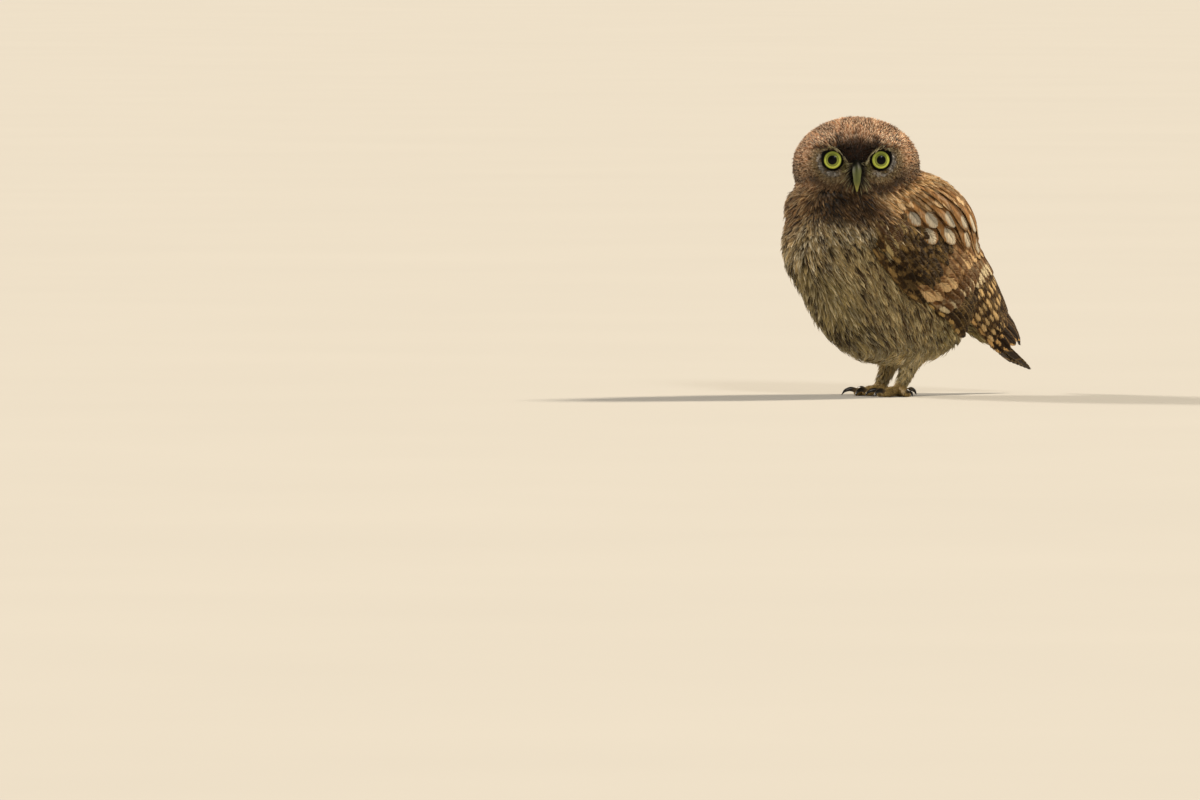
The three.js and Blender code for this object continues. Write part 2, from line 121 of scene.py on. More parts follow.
def linear(code: str) -> Array:
    """Turns a written colour into the linear one that shaders use."""
    value = np.array([int(code[i:i + 2], 16) for i in (0, 2, 4)]) / 255
    return np.where(value <= 0.04045, value / 12.92, ((value + 0.055) / 1.055) ** 2.4)


def joined(first: Array, second: Array, radius: float) -> Array:
    """The smaller of two distances, with the crease between them filled to about a radius."""
    overlap = np.maximum(radius - np.abs(first - second), 0) / radius
    return np.minimum(first, second) - overlap**2 * radius / 4


# Shapes


class Shape:
    """A body given by the distance to its surface, negative inside."""

    def distance(self, p: Array) -> Array:
        """Distance of points to the surface in millimetres."""
        raise NotImplementedError

    def normal(self, p: Array) -> Array:
        """Outward directions at points.

        Args:
            p: Points near the surface.

        Returns:
            One unit vector for each point.
        """
        corners = np.array([[1, 1, 1], [1, -1, -1], [-1, 1, -1], [-1, -1, 1]])
        reach = 0.5
        return unit(sum(c * self.distance(p + c * reach)[..., None] for c in corners))

    def settle(self, p: Array, level: Array, rounds: int = 3) -> Array:
        """Moves points to a height over the surface.

        Args:
            p: Points near the surface.
            level: The height wanted, negative inside.
            rounds: How often the move is repeated.

        Returns:
            The moved points.
        """
        for _ in range(rounds):
            p = p + self.normal(p) * (level - self.distance(p))[..., None]
        return p

    def cast(self, centre: Array, directions: Array, reach: float) -> Array:
        """Finds the surface from a centre inside.

        Args:
            centre: Where the rays start, one point or one for each ray.
            directions: Unit vectors.
            reach: How far the rays go.

        Returns:
            The distance along each ray.
        """
        steps = np.linspace(0, reach, 60)
        points = np.asarray(centre)[..., None, :] + directions[..., None, :] * steps[:, None]
        outside = self.distance(points) > 0
        first = np.where(outside.any(-1), np.maximum(outside.argmax(-1), 1), len(steps) - 1)
        low, high = steps[first - 1], steps[first]
        for _ in range(12):
            middle = (low + high) / 2
            out = self.distance(centre + directions * middle[..., None]) > 0
            low, high = np.where(out, low, middle), np.where(out, middle, high)
        return low


@dataclass(frozen=True)
class Ellipsoid(Shape):
    """An ellipsoid, its size given by half-axes and pitched nose up round X."""

    at: tuple[float, float, float]
    size: tuple[float, float, float]
    pitch: float = 0.0

    def distance(self, p: Array) -> Array:
        """See Shape.distance."""
        turn = math.radians(self.pitch)
        d = p - np.array(self.at)
        y = d[..., 1] * math.cos(turn) - d[..., 2] * math.sin(turn)
        z = d[..., 1] * math.sin(turn) + d[..., 2] * math.cos(turn)
        q = np.stack([d[..., 0], y, z], -1)
        size = np.array(self.size)
        near = np.linalg.norm(q / size, axis=-1)
        slope = np.linalg.norm(q / size**2, axis=-1)
        return near * (near - 1) / np.maximum(slope, TINY)


@dataclass(frozen=True)
class Merged(Shape):
    """Some shapes joined, with their creases filled to about a radius."""

    parts: tuple[Shape, ...]
    radius: float

    def distance(self, p: Array) -> Array:
        """See Shape.distance."""
        value = self.parts[0].distance(p)
        for part in self.parts[1:]:
            value = joined(value, part.distance(p), self.radius)
        return value


@dataclass(frozen=True)
class Limb(Shape):
    """A round limb along a bent line, with its own thickness at each point."""

    line: tuple[tuple[float, float, float], ...]
    radii: tuple[float, ...]

    def distance(self, p: Array) -> Array:
        """See Shape.distance."""
        best = np.full(p.shape[:-1], np.inf)
        for start, end, first, last in zip(self.line, self.line[1:], self.radii, self.radii[1:]):
            bone = np.subtract(end, start)
            t = np.clip((p - np.array(start)) @ bone / (bone @ bone), 0, 1)
            gap = np.linalg.norm(p - np.array(start) - t[..., None] * bone, axis=-1)
            best = np.minimum(best, gap - mix(first, last, t))
        return best


@dataclass(frozen=True)
class HeadShape(Shape):
    """The head: a wide skull with two shallow facial discs under its brows."""

    centre: tuple[float, float, float]
    turn: float
    width: float = 77.5
    height: float = 61.0
    depth: float = 61.0
    disc_spacing: float = 31.0
    disc_ball: float = 19.0
    disc_depth: float = 7.0
    disc_height: float = 3.4
    disc_rim: float = 4.0
    brow_blend: float = 6.0
    brow_at: tuple[float, float, float] = (12.0, -21.9, 14.5)
    brow_size: tuple[float, float, float] = (13.0, 6.0, 4.0)

    @property
    def axes(self) -> Array:
        """The head's own axes as rows: towards its left, its back and up."""
        c, s = math.cos(math.radians(self.turn)), math.sin(math.radians(self.turn))
        return np.array([[c, s, 0], [-s, c, 0], [0, 0, 1]])

    def local(self, p: Array) -> Array:
        """Puts points into the head's own axes, where the face looks towards -Y."""
        return (p - np.array(self.centre)) @ self.axes.T

    def world(self, p: Array) -> Array:
        """Brings points of the head's own axes back to the bird's."""
        return np.asarray(p) @ self.axes + np.array(self.centre)

    def distance(self, p: Array) -> Array:
        """See Shape.distance."""
        q = self.local(p)
        skull = Ellipsoid((0, 0, 0), (self.width / 2, self.depth / 2, self.height / 2))
        front = self.disc_ball - self.disc_depth + self.depth / 2
        bowls = [
            Ellipsoid((s * self.disc_spacing / 2, -front, self.disc_height), (self.disc_ball,) * 3).distance(q)
            for s in (-1, 1)
        ]
        value = -joined(-skull.distance(q), np.minimum(*bowls), self.disc_rim)
        x, y, z = self.brow_at
        for s in (-1, 1):
            value = joined(value, Ellipsoid((s * x, y, z), self.brow_size).distance(q), self.brow_blend)
        return value


TRUNK_PARTS = (
    Ellipsoid((0, 3, 78), (42, 64, 50), 46),
    Ellipsoid((0, -28, 90), (38.5, 39, 37)),
    Ellipsoid((0, 18, 108), (38, 41, 26.5), 33),
    Ellipsoid((0, -8, 58), (37, 45, 36), 34),
    Ellipsoid((0, 25, 44), (28, 25, 21), 10),
    Ellipsoid((0, 48, 70), (24, 34, 19), 54),
    Ellipsoid((-8, -26, 114), (34, 34, 20)),
)
TAIL_BASE = Ellipsoid((0, 56, 56), (20, 62, 17), 47)
RUMP = Ellipsoid((0, 64, 43.8), (9.5, 24, 6.5), 36)
FOOT_AT = (10.5, 4.0)
LEG_BONES = ((-1, 17, 44), (-1, 14, 36), (0, 9, 22), (0, 4, 12), (0, 0.5, 6))
LEG_RADII = (11.0, 9.0, 6.6, 5.2, 4.4)


def leg_line(side: Side) -> tuple[tuple[float, float, float], ...]:
    """The middle of a leg from the thigh down to the foot."""
    return tuple((side.value * (FOOT_AT[0] + out), FOOT_AT[1] + y, z) for out, y, z in LEG_BONES)


@dataclass(frozen=True)
class Stance:
    """Where the bird stands in the frame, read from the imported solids."""

    shift: float
    head: HeadShape
    trunk: Merged
    body: Merged
    cover: Merged
    wing_ground: Merged
    eye_radius: float

    @classmethod
    def from_frame(cls) -> "Stance":
        """Reads the feet, the eyes and the turn of the head from the frame.

        Returns:
            The bird's stance.
        """
        eye_in_head = (0.0, -19.0, 4.4)
        sole = next(m for m in frame["record"]["mounts"] if m["name"] == "sole_left")
        shift = sole["pos_m"][1] / MILLIMETRE - FOOT_AT[1]
        boxes = {s: [np.array(c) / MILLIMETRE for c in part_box("eye_" + s.word)] for s in Side}
        eyes = {s: (low + high) / 2 - np.array([0, shift, 0]) for s, (low, high) in boxes.items()}
        across = eyes[Side.LEFT] - eyes[Side.RIGHT]
        turn = math.degrees(math.atan2(across[1], across[0]))
        middle = (eyes[Side.LEFT] + eyes[Side.RIGHT]) / 2
        c, s = math.cos(math.radians(turn)), math.sin(math.radians(turn))
        back = np.array([-s, c, 0])
        centre = middle - back * eye_in_head[1] - np.array([0, 0, eye_in_head[2]])
        head = HeadShape(tuple(centre), turn)
        trunk = Merged(TRUNK_PARTS, 9.0)
        body = Merged((trunk, head), 4.0)
        legs = tuple(Limb(leg_line(side), LEG_RADII) for side in Side)
        low, high = boxes[Side.LEFT]
        return cls(
            shift=shift,
            head=head,
            trunk=trunk,
            body=body,
            cover=Merged((body, RUMP, *legs), 6.0),
            wing_ground=Merged((trunk, TAIL_BASE), 12.0),
            eye_radius=float(high[2] - low[2]) / 2,
        )

    def place(self, p: Array) -> Array:
        """Turns the bird's millimetres into metres of the frame."""
        return (np.asarray(p, float) + np.array([0, self.shift, 0])) * MILLIMETRE


# Meshes


def new_object(name: str, data: bpy.types.ID) -> bpy.types.Object:
    """Makes an object and links it to the scene.

    Args:
        name: The object's name.
        data: Its mesh, camera or lamp.

    Returns:
        The new object.
    """
    made = bpy.data.objects.new(name, data)
    bpy.context.scene.collection.objects.link(made)
    return made


def write_tint(mesh: bpy.types.Mesh, colours: Array) -> None:
    """Gives each point of a mesh its colour."""
    full = np.concatenate([colours, np.ones((len(colours), 1))], 1).astype(np.float32)
    mesh.attributes.new("tint", "FLOAT_COLOR", "POINT").data.foreach_set("color", full.ravel())


@dataclass
class Piece:
    """The points, faces and point data of one piece while it is being made."""

    name: str
    points: list[Array] = field(default_factory=list)
    quads: list[Array] = field(default_factory=list)
    triangles: list[Array] = field(default_factory=list)
    data: dict[str, list[Array]] = field(default_factory=dict)
    count: int = 0

    def add(self, points: Array, quads: Array | None, triangles: Array | None, **data: Array) -> None:
        """Adds a batch of like forms, each with the same faces.

        Args:
            points: Points in millimetres, as (forms, points of a form, 3).
            quads: Four-sided faces of one form, or None.
            triangles: Three-sided faces of one form, or None.
            **data: Values for each point, as (forms, points of a form, size).
        """
        forms, size = points.shape[:2]
        start = self.count + size * np.arange(forms)[:, None, None]
        self.points.append(points.reshape(-1, 3))
        if quads is not None and len(quads):
            self.quads.append((start + quads[None]).reshape(-1, 4))
        if triangles is not None and len(triangles):
            self.triangles.append((start + triangles[None]).reshape(-1, 3))
        for key, values in data.items():
            self.data.setdefault(key, []).append(values.reshape(forms * size, -1))
        self.count += forms * size

    def build(self, stance: Stance, finish: bpy.types.Material) -> bpy.types.Object:
        """Makes the Blender object.

        Args:
            stance: Places the points in the frame.
            finish: The piece's material.

        Returns:
            The new object, linked to the scene.
        """
        points = stance.place(np.concatenate(self.points))
        quads, triangles = (
            np.concatenate(rows) if rows else np.zeros((0, size), int)
            for rows, size in ((self.quads, 4), (self.triangles, 3))
        )
        corners = np.concatenate([quads.ravel(), triangles.ravel()]).astype(np.int32)
        sizes = np.repeat([4, 3], [len(quads), len(triangles)])
        mesh = bpy.data.meshes.new(self.name)
        mesh.vertices.add(len(points))
        mesh.vertices.foreach_set("co", points.astype(np.float32).ravel())
        mesh.loops.add(len(corners))
        mesh.loops.foreach_set("vertex_index", corners)
        mesh.polygons.add(len(sizes))
        mesh.polygons.foreach_set("loop_start", (np.cumsum(sizes) - sizes).astype(np.int32))
        mesh.polygons.foreach_set("use_smooth", np.ones(len(sizes), bool))
        mesh.update(calc_edges=True)
        for key, batches in self.data.items():
            values = np.concatenate(batches).astype(np.float32)
            if key == "OFBake":
                mesh.uv_layers.new(name=key).data.foreach_set("uv", values[corners].ravel())
            elif key == "tint":
                write_tint(mesh, values)
            else:
                mesh.attributes.new(key, "FLOAT_VECTOR", "POINT").data.foreach_set("vector", values.ravel())
        mesh.materials.append(finish)
        return new_object(self.name, mesh)


def ring_faces(rings: int, around: int) -> tuple[Array, Array]:
    """Faces of a closed tube of rings, with a fan to one point over each end.

    Args:
        rings: How many rings there are.
        around: How many points a ring has.

    Returns:
        The four-sided faces and the triangles; the two end points follow the rings.
    """
    i, j = np.meshgrid(np.arange(rings - 1), np.arange(around), indexing="ij")
    a, b = i * around + j, i * around + (j + 1) % around
    quads = np.stack([a, b, b + around, a + around], -1).reshape(-1, 4)
    k = np.arange(around)
    last = (rings - 1) * around
    first_end = np.stack([np.full(around, rings * around), (k + 1) % around, k], -1)
    last_end = np.stack([np.full(around, rings * around + 1), last + k, last + (k + 1) % around], -1)
    return quads, np.concatenate([first_end, last_end])


def tube_points(centres: Array, across: Array, up: Array, radii: Array, around: int, ridge: float = 0.0) -> Array:
    """Points of a round tube, with an end point after the rings for each end.

    Args:
        centres: The middle of each ring.
        across: Unit vectors across each ring.
        up: Unit vectors square to across.
        radii: The radius of each ring.
        around: How many points a ring has.
        ridge: How much the upper side is drawn out into a ridge.

    Returns:
        All points in one row.
    """
    turn = np.linspace(0, 2 * math.pi, around, endpoint=False)
    keel = 1 + ridge * np.clip(np.sin(turn), 0, 1) ** 6
    x = np.cos(turn)[None, :, None] * radii[:, None, None] * across[:, None, :]
    y = (np.sin(turn) * keel)[None, :, None] * radii[:, None, None] * up[:, None, :]
    rings = centres[:, None, :] + x + y
    return np.concatenate([rings.reshape(-1, 3), centres[:1], centres[-1:]])


def tube_vane(rings: int, around: int) -> Array:
    """The vane data of a tube, which say how far along it each point is."""
    along = np.append(np.repeat(np.linspace(0, 1, rings), around), [0, 1])
    return np.stack([0 * along, along, 0 * along], -1)[None]


def globe(rings: int, around: int) -> Array:
    """Unit vectors in all directions, in rings from the top down.

    Args:
        rings: How many rings there are.
        around: How many vectors a ring has.

    Returns:
        All vectors in one row.
    """
    polar = (np.arange(rings) + 0.5) / rings * math.pi
    turn = np.linspace(0, 2 * math.pi, around, endpoint=False)
    a, b = np.meshgrid(polar, turn, indexing="ij")
    return np.stack([np.sin(a) * np.cos(b), np.sin(a) * np.sin(b), np.cos(a)], -1).reshape(-1, 3)


def smooth_line(points: tuple, count: int) -> Array:
    """An even curve through a few points.

    Args:
        points: The points that the curve passes.
        count: How many points are wanted.

    Returns:
        Points at even steps along the curve.
    """
    p = np.array(points, float)
    p = np.concatenate([2 * p[:1] - p[1:2], p, 2 * p[-1:] - p[-2:-1]])
    t = np.linspace(0, 1, 24, endpoint=False)[:, None]
    pieces = [
        0.5 * (2 * b + (c - a) * t + (2 * a - 5 * b + 4 * c - d) * t**2 + (3 * b - a - 3 * c + d) * t**3)
        for a, b, c, d in zip(p[:-3], p[1:-2], p[2:-1], p[3:])
    ]
    fine = np.concatenate(pieces + [p[-2:-1]])
    along = np.concatenate([[0], np.cumsum(np.linalg.norm(np.diff(fine, axis=0), axis=1))])
    even = np.linspace(0, along[-1], count)
    return np.stack([np.interp(even, along, fine[:, k]) for k in range(3)], -1)


# Finishes


@dataclass
class Board:
    """Adds nodes to one tree and links them."""

    tree: bpy.types.NodeTree

    def feed(self, socket: bpy.types.NodeSocket, value: object) -> None:
        """Links a socket to another one, or gives it a value.

        Args:
            socket: The input to feed.
            value: A value or an output.
        """
        if isinstance(value, bpy.types.NodeSocket):
            self.tree.links.new(value, socket)
        else:
            socket.default_value = value

    def node(self, kind: str, inputs: dict | None = None, **settings: object) -> bpy.types.Node:
        """Adds one node.

        Args:
            kind: The node's type without the leading ShaderNode.
            inputs: Values or sockets by socket name or number.
            **settings: The node's own properties.

        Returns:
            The new node.
        """
        node = self.tree.nodes.new("ShaderNode" + kind)
        for key, value in settings.items():
            setattr(node, key, value)
        for key, value in (inputs or {}).items():
            self.feed(node.inputs[key], value)
        return node

    def math(self, operation: str, *values: object) -> bpy.types.NodeSocket:
        """Adds a sum on numbers or sockets."""
        return self.node("Math", dict(enumerate(values)), operation=operation).outputs[0]

    def step(self, value: object, start: float, end: float) -> bpy.types.NodeSocket:
        """Adds a smooth ramp from 0 at start to 1 at end."""
        inputs = {"Value": value, "From Min": start, "From Max": end}
        return self.node("MapRange", inputs, interpolation_type="SMOOTHSTEP").outputs["Result"]

    def blend(self, share: object, first: object, second: object) -> bpy.types.NodeSocket:
        """Mixes two colours.

        Args:
            share: How much of the second colour shows.
            first: A colour or its socket.
            second: A colour or its socket.

        Returns:
            The mixed colour's socket.
        """
        node = self.node("Mix", {0: share}, data_type="RGBA")
        for key, value in ((6, first), (7, second)):
            self.feed(node.inputs[key], value if isinstance(value, bpy.types.NodeSocket) else (*value, 1.0))
        return node.outputs[2]

    def attribute(self, name: str) -> bpy.types.Node:
        """Adds a node that reads the mesh's own data of that name."""
        return self.node("Attribute", attribute_name=name)

    def parts(self, name: str) -> list[bpy.types.NodeSocket]:
        """Adds nodes that read the three numbers of the mesh's own data of that name."""
        return list(self.node("SeparateXYZ", {0: self.attribute(name).outputs["Vector"]}).outputs)

    def use(self, name: str, **inputs: object) -> bpy.types.Node:
        """Adds a node group.

        Args:
            name: The group's name.
            **inputs: Values or sockets, with an underscore for each space in a socket's name.

        Returns:
            The group's node.
        """
        node = self.node("Group", node_tree=GROUPS[name])
        for key, value in inputs.items():
            self.feed(node.inputs[key.replace("_", " ")], value)
        return node


class Surface(Board):
    """The board of a new material, with its shader."""

    def __init__(self, name: str, **constants: object) -> None:
        """Starts the material.

        Args:
            name: The material's name.
            **constants: Values of the shader's sockets, with an underscore for each space.
        """
        self.material = bpy.data.materials.new(name)
        self.material.use_nodes = True
        super().__init__(self.material.node_tree)
        self.shader = self.tree.nodes["Principled BSDF"]
        for key, value in constants.items():
            self.shader.inputs[key.replace("_", " ")].default_value = value

    def finish(self, colour: object, height: object = None, strength: float = 0.0,
               depth: float = BUMP_DEPTH) -> bpy.types.Material:
        """Gives the shader its colour and its bumps.

        Args:
            colour: The colour's socket.
            height: The socket of the bumps' height, or None for a smooth surface.
            strength: How strong the bumps are.
            depth: How high they are in metres.

        Returns:
            The finished material.
        """
        self.feed(self.shader.inputs["Base Color"], colour)
        if height is not None:
            bump = self.node("Bump", {"Height": height, "Strength": strength, "Distance": depth})
            self.feed(self.shader.inputs["Normal"], bump.outputs[0])
        return self.material


GROUPS: dict[str, bpy.types.NodeTree] = {}


def group(name: str, inputs: dict[str, str], outputs: dict[str, str]) -> tuple[Board, dict, bpy.types.Node]:
    """Starts a shader node group.

    Args:
        name: The group's name.
        inputs: Socket kinds by input name.
        outputs: Socket kinds by output name.

    Returns:
        The group's board, its input sockets by name and its output node.
    """
    tree = GROUPS[name] = bpy.data.node_groups.new(name, "ShaderNodeTree")
    for way, sockets in (("INPUT", inputs), ("OUTPUT", outputs)):
        for key, kind in sockets.items():
            tree.interface.new_socket(key, in_out=way, socket_type="NodeSocket" + kind)
    start, end = tree.nodes.new("NodeGroupInput"), tree.nodes.new("NodeGroupOutput")
    return Board(tree), {key: start.outputs[key] for key in inputs}, end


def make_mottle_group() -> None:
    """Uneven colour: a colour made lighter and darker in soft patches and fine grain."""
    inputs = {"Colour": "Color", "Scale": "Float", "Amount": "Float"}
    board, given, end = group("mottle", inputs, {"Colour": "Color", "Height": "Float"})
    place = board.node("TexCoord").outputs["Object"]
    noise = board.node("TexNoise", {"Vector": place, "Scale": given["Scale"], "Detail": 4.0})
    centred = board.math("SUBTRACT", noise.outputs["Fac"], 0.5)
    gain = board.math("ADD", board.math("MULTIPLY", centred, given["Amount"]), 1.0)
    tinted = board.node("VectorMath", {0: given["Colour"], "Scale": gain}, operation="SCALE")
    board.feed(end.inputs["Colour"], tinted.outputs[0])
    board.feed(end.inputs["Height"], noise.outputs["Fac"])


def make_spot_group() -> None:
    """Spots on a vane: an oval that repeats towards the tip, as a mask from 0 to 1."""
    names = ("Across", "Along", "Repeats", "Centre Across", "Centre Along", "Half Width", "Half Length")
    board, given, end = group("vane spots", {n: "Float" for n in names}, {"Mask": "Float"})
    cell = board.math("FRACT", board.math("MULTIPLY", given["Along"], given["Repeats"]))
    x = board.math("DIVIDE", board.math("SUBTRACT", given["Across"], given["Centre Across"]), given["Half Width"])
    y = board.math("DIVIDE", board.math("SUBTRACT", cell, given["Centre Along"]), given["Half Length"])
    place = board.node("CombineXYZ", {0: x, 1: y}).outputs[0]
    far = board.node("VectorMath", {0: place}, operation="LENGTH").outputs["Value"]
    board.feed(end.inputs["Mask"], board.step(far, 1.12, 0.88))


@dataclass(frozen=True)
class CoatFinish:
    """Soft body feathers: each strand carries its own tint, a little uneven."""

    name: str
    roughness: float = 0.8
    sheen: float = 0.1
    grain: float = 900.0
    unevenness: float = 0.5

    def build(self) -> bpy.types.Material:
        """Makes the material.

        Returns:
            The new material.
        """
        board = Surface(self.name, Roughness=self.roughness, Sheen_Weight=self.sheen, Sheen_Roughness=0.45,
                        Specular_IOR_Level=0.15)
        tint = board.attribute("tint").outputs["Color"]
        uneven = board.use("mottle", Colour=tint, Scale=self.grain, Amount=self.unevenness)
        return board.finish(uneven.outputs["Colour"], uneven.outputs["Height"], 0.3)


@dataclass(frozen=True)
class VaneFinish:
    """A flat feather's finish: ground, darker shaft and inner web (partly the feather's own darker colour, partly
    painted shade of the gaps between overlapping feathers), spots, edge and single barbs.
    """

    name: str
    ground: str
    shade: str
    spot: str
    repeats: float = 1.0
    spot_across: float = 0.4
    spot_along: float = 0.78
    spot_width: float = 0.5
    spot_length: float = 0.13
    spot_share: float = 0.9
    edge: str = "b79a72"
    edge_share: float = 0.4
    rarity: float = 0.0
    blotch: float = 0.0
    quill: str = "4a3420"
    roughness: float = 0.6

    def build(self) -> bpy.types.Material:
        """Makes the material.

        Returns:
            The new material.
        """
        board = Surface(self.name, Roughness=self.roughness, Sheen_Weight=0.03, Sheen_Roughness=0.4,
                        Specular_IOR_Level=0.1)
        across, along, chance = board.parts("vane")
        own, out, quill = board.parts("barb")
        stray = board.math("SUBTRACT", own, 0.5)
        wide = board.math("MULTIPLY_ADD", chance, 0.5, 0.75)
        spots = board.use(
            "vane spots", Across=board.math("MULTIPLY_ADD", stray, 0.2, across),
            Along=board.math("MULTIPLY_ADD", stray, 0.035, along),
            Repeats=self.repeats, Centre_Across=self.spot_across, Centre_Along=self.spot_along,
            Half_Width=board.math("MULTIPLY", wide, self.spot_width),
            Half_Length=board.math("MULTIPLY", wide, self.spot_length),
        )
        place = board.node("TexCoord").outputs["Object"]
        cloud = board.node("TexNoise", {"Vector": place, "Scale": 260.0, "Detail": 2.0}).outputs["Fac"]
        cloud = board.math("MULTIPLY", board.step(cloud, 0.46, 0.62), self.blotch)
        base = board.blend(cloud, linear(self.ground), linear(self.spot))
        grain = board.use("mottle", Colour=base, Scale=420.0, Amount=0.8)
        # Darker shaft and inner web: partly the feather's own darker colour, partly painted shade of the dark gaps
        # between overlapping feathers.
        shaft = board.step(board.math("ABSOLUTE", across), 0.35, 0.0)
        inner = board.step(across, 0.1, -0.6)
        dark = board.math("MAXIMUM", board.math("MULTIPLY", shaft, 0.6), board.math("MULTIPLY", inner, 0.5))
        colour = board.blend(dark, grain.outputs["Colour"], linear(self.shade))
        rim = board.math("MULTIPLY", board.step(out, 0.72, 1.0), self.edge_share)
        colour = board.blend(rim, colour, linear(self.edge))
        shown = board.math("MULTIPLY", board.step(chance, self.rarity - 0.02, self.rarity), self.spot_share)
        mask = board.math("MULTIPLY", spots.outputs["Mask"], shown)
        colour = board.blend(mask, colour, linear(self.spot))
        colour = board.blend(board.math("MULTIPLY", quill, 0.7), colour, linear(self.quill))
        vary = board.math("MULTIPLY", board.math("MULTIPLY_ADD", chance, 0.36, 0.82),
                          board.math("MULTIPLY_ADD", own, 0.28, 0.86))
        return board.finish(board.node("VectorMath", {0: colour, "Scale": vary}, operation="SCALE").outputs[0])


@dataclass(frozen=True)
class HornFinish:
    """Horn of the bill and the claws, from a root colour over a middle one to a tip colour."""

    name: str
    root: str
    middle: str
    tip: str
    root_ends: tuple[float, float] = (0.15, 0.4)
    roughness: float = 0.38
    specular: float = 0.35
    coat: float = 0.08

    def build(self) -> bpy.types.Material:
        """Makes the material.

        Returns:
            The new material.
        """
        board = Surface(self.name, Roughness=self.roughness, Coat_Weight=self.coat, Coat_Roughness=0.3,
                        Specular_IOR_Level=self.specular)
        along = board.parts("vane")[1]
        colour = board.blend(board.step(along, *self.root_ends), linear(self.root), linear(self.middle))
        colour = board.blend(board.step(along, 0.7, 1.0), colour, linear(self.tip))
        grain = board.use("mottle", Colour=colour, Scale=1500.0, Amount=0.5)
        return board.finish(grain.outputs["Colour"], grain.outputs["Height"], 0.25)


@dataclass(frozen=True)
class EyeFinish:
    """The eye: black pupil, yellow-green iris with a thin darker ring and dark radial streaks, painted shade of the
    lids and brow over the upper iris, dark rim.
    """

    name: str = "eye_wet"
    pupil: float = 2.6
    ring_at: float = 3.7
    iris: float = 5.3
    inner: str = "99a249"
    ring: str = "3a3d16"
    outer: str = "d2dc62"
    shadow: str = "3c4519"
    rim: str = "141008"

    def build(self) -> bpy.types.Material:
        """Makes the material.

        Returns:
            The new material.
        """
        board = Surface(self.name, Roughness=0.35, Coat_Weight=0.12, Coat_Roughness=0.02, Specular_IOR_Level=0.05)
        across, up, _ = board.parts("vane")
        flat = board.node("CombineXYZ", {0: across, 1: up}).outputs[0]
        far = board.node("VectorMath", {0: flat}, operation="LENGTH").outputs["Value"]
        ray = board.node("VectorMath", {0: flat}, operation="NORMALIZE").outputs[0]
        streak = board.node("TexNoise", {"Vector": ray, "Scale": 9.0, "Detail": 5.0}).outputs["Fac"]
        colour = board.blend(board.step(far, self.ring_at - 0.1, self.ring_at + 0.2),
                             linear(self.inner), linear(self.outer))
        colour = board.blend(board.step(far, self.pupil + 0.55, self.pupil), colour, linear(self.ring))
        near = board.math("ABSOLUTE", board.math("SUBTRACT", far, self.ring_at))
        colour = board.blend(board.math("MULTIPLY", board.step(near, 0.26, 0.06), 0.8), colour, linear(self.ring))
        # Dark radial streaks of the iris, in the same dark colour as the painted shade below.
        lines = board.math("MULTIPLY", board.step(streak, 0.5, 0.75), 0.4)
        colour = board.blend(lines, colour, linear(self.shadow))
        # Painted shade: the iris darkens towards its top, where the lids and brow shade it.
        colour = board.blend(board.math("MULTIPLY", board.step(up, -1.0, 4.8), 0.6), colour, linear(self.shadow))
        colour = board.blend(board.step(far, self.iris - 0.4, self.iris + 0.1), colour, linear(self.rim))
        return board.finish(board.blend(board.step(far, self.pupil + 0.1, self.pupil - 0.1), colour, (0.0015,) * 3))


@dataclass(frozen=True)
class SkinFinish:
    """Bare skin of lids and toes, with fine scales or folds."""

    name: str
    colour: str
    fold: str
    scale: float
    roughness: float = 0.55
    depth: float = 0.0003
    specular: float = 0.4

    def build(self) -> bpy.types.Material:
        """Makes the material.

        Returns:
            The new material.
        """
        board = Surface(self.name, Roughness=self.roughness, Specular_IOR_Level=self.specular)
        place = board.node("TexCoord").outputs["Object"]
        cells = board.node("TexVoronoi", {"Vector": place, "Scale": self.scale}, feature="DISTANCE_TO_EDGE")
        crease = board.step(cells.outputs["Distance"], 0.12, 0.0)
        colour = board.blend(crease, linear(self.colour), linear(self.fold))
        grain = board.use("mottle", Colour=colour, Scale=1200.0, Amount=0.6)
        height = board.step(cells.outputs["Distance"], 0.0, 0.3)
        return board.finish(grain.outputs["Colour"], height, 0.6, self.depth)


# Plumage


@dataclass(frozen=True)
class Tone:
    """The colours of one patch of plumage.

    The ground is crossed by streaks along some feathers' middles, and some strands have tips.
    """

    ground: str
    streak: str
    streak_share: float
    tip: str
    tip_share: float


class Patch(Enum):
    """The patches of body plumage, painted in this order, each over those before it."""

    BREAST = Tone("b09a70", "3f2c16", 0.46, "f7eacb", 0.48)
    COLLAR = Tone("856440", "2e1c0d", 0.55, "dcbd8e", 0.42)
    BELLY = Tone("99875a", "3a2c15", 0.42, "dccca4", 0.38)
    FLANK = Tone("a58f62", "463214", 0.44, "decb9a", 0.38)
    VENT = Tone("9c8a58", "4c3817", 0.4, "dccb98", 0.38)
    LEG = Tone("d2bc88", "947a48", 0.24, "f6e8c2", 0.45)
    BACK = Tone("855834", "452a14", 0.42, "cda06c", 0.32)
    MANTLE = Tone("c59c68", "6e4b28", 0.32, "f4d8aa", 0.5)
    CROWN = Tone("b07e55", "3c2412", 0.46, "ffe0bc", 0.55)
    CHEEK = Tone("967049", "26170a", 0.52, "f4d4a8", 0.5)
    THROAT = Tone("38240e", "160c05", 0.5, "7c5a32", 0.2)
    DISC = Tone("917c56", "38280f", 0.48, "dccaa2", 0.42)
    RUFF = Tone("3e2912", "1a0f06", 0.5, "7a5c34", 0.25)
    FOREHEAD = Tone("2e1b0b", "140a04", 0.5, "683f22", 0.18)
    CRESCENT = Tone("cdc5bb", "7e766c", 0.28, "efecea", 0.5)
    OLIVE = Tone("837742", "453b18", 0.35, "bdb074", 0.35)
    BROW = Tone("e4d6a8", "b09c68", 0.12, "f6ecca", 0.5)
    LORE = Tone("241a0d", "100a04", 0.5, "5a4a2a", 0.2)


BROW_ACROSS = (5.0, 7.0, 9.0, 11.0, 13.5, 17.0, 20.0)
BROW_HEIGHTS = (0.5, 4.6, 6.4, 9.2, 11.4, 12.2, 10.5)
EYE_AT = (14.2, 4.0)


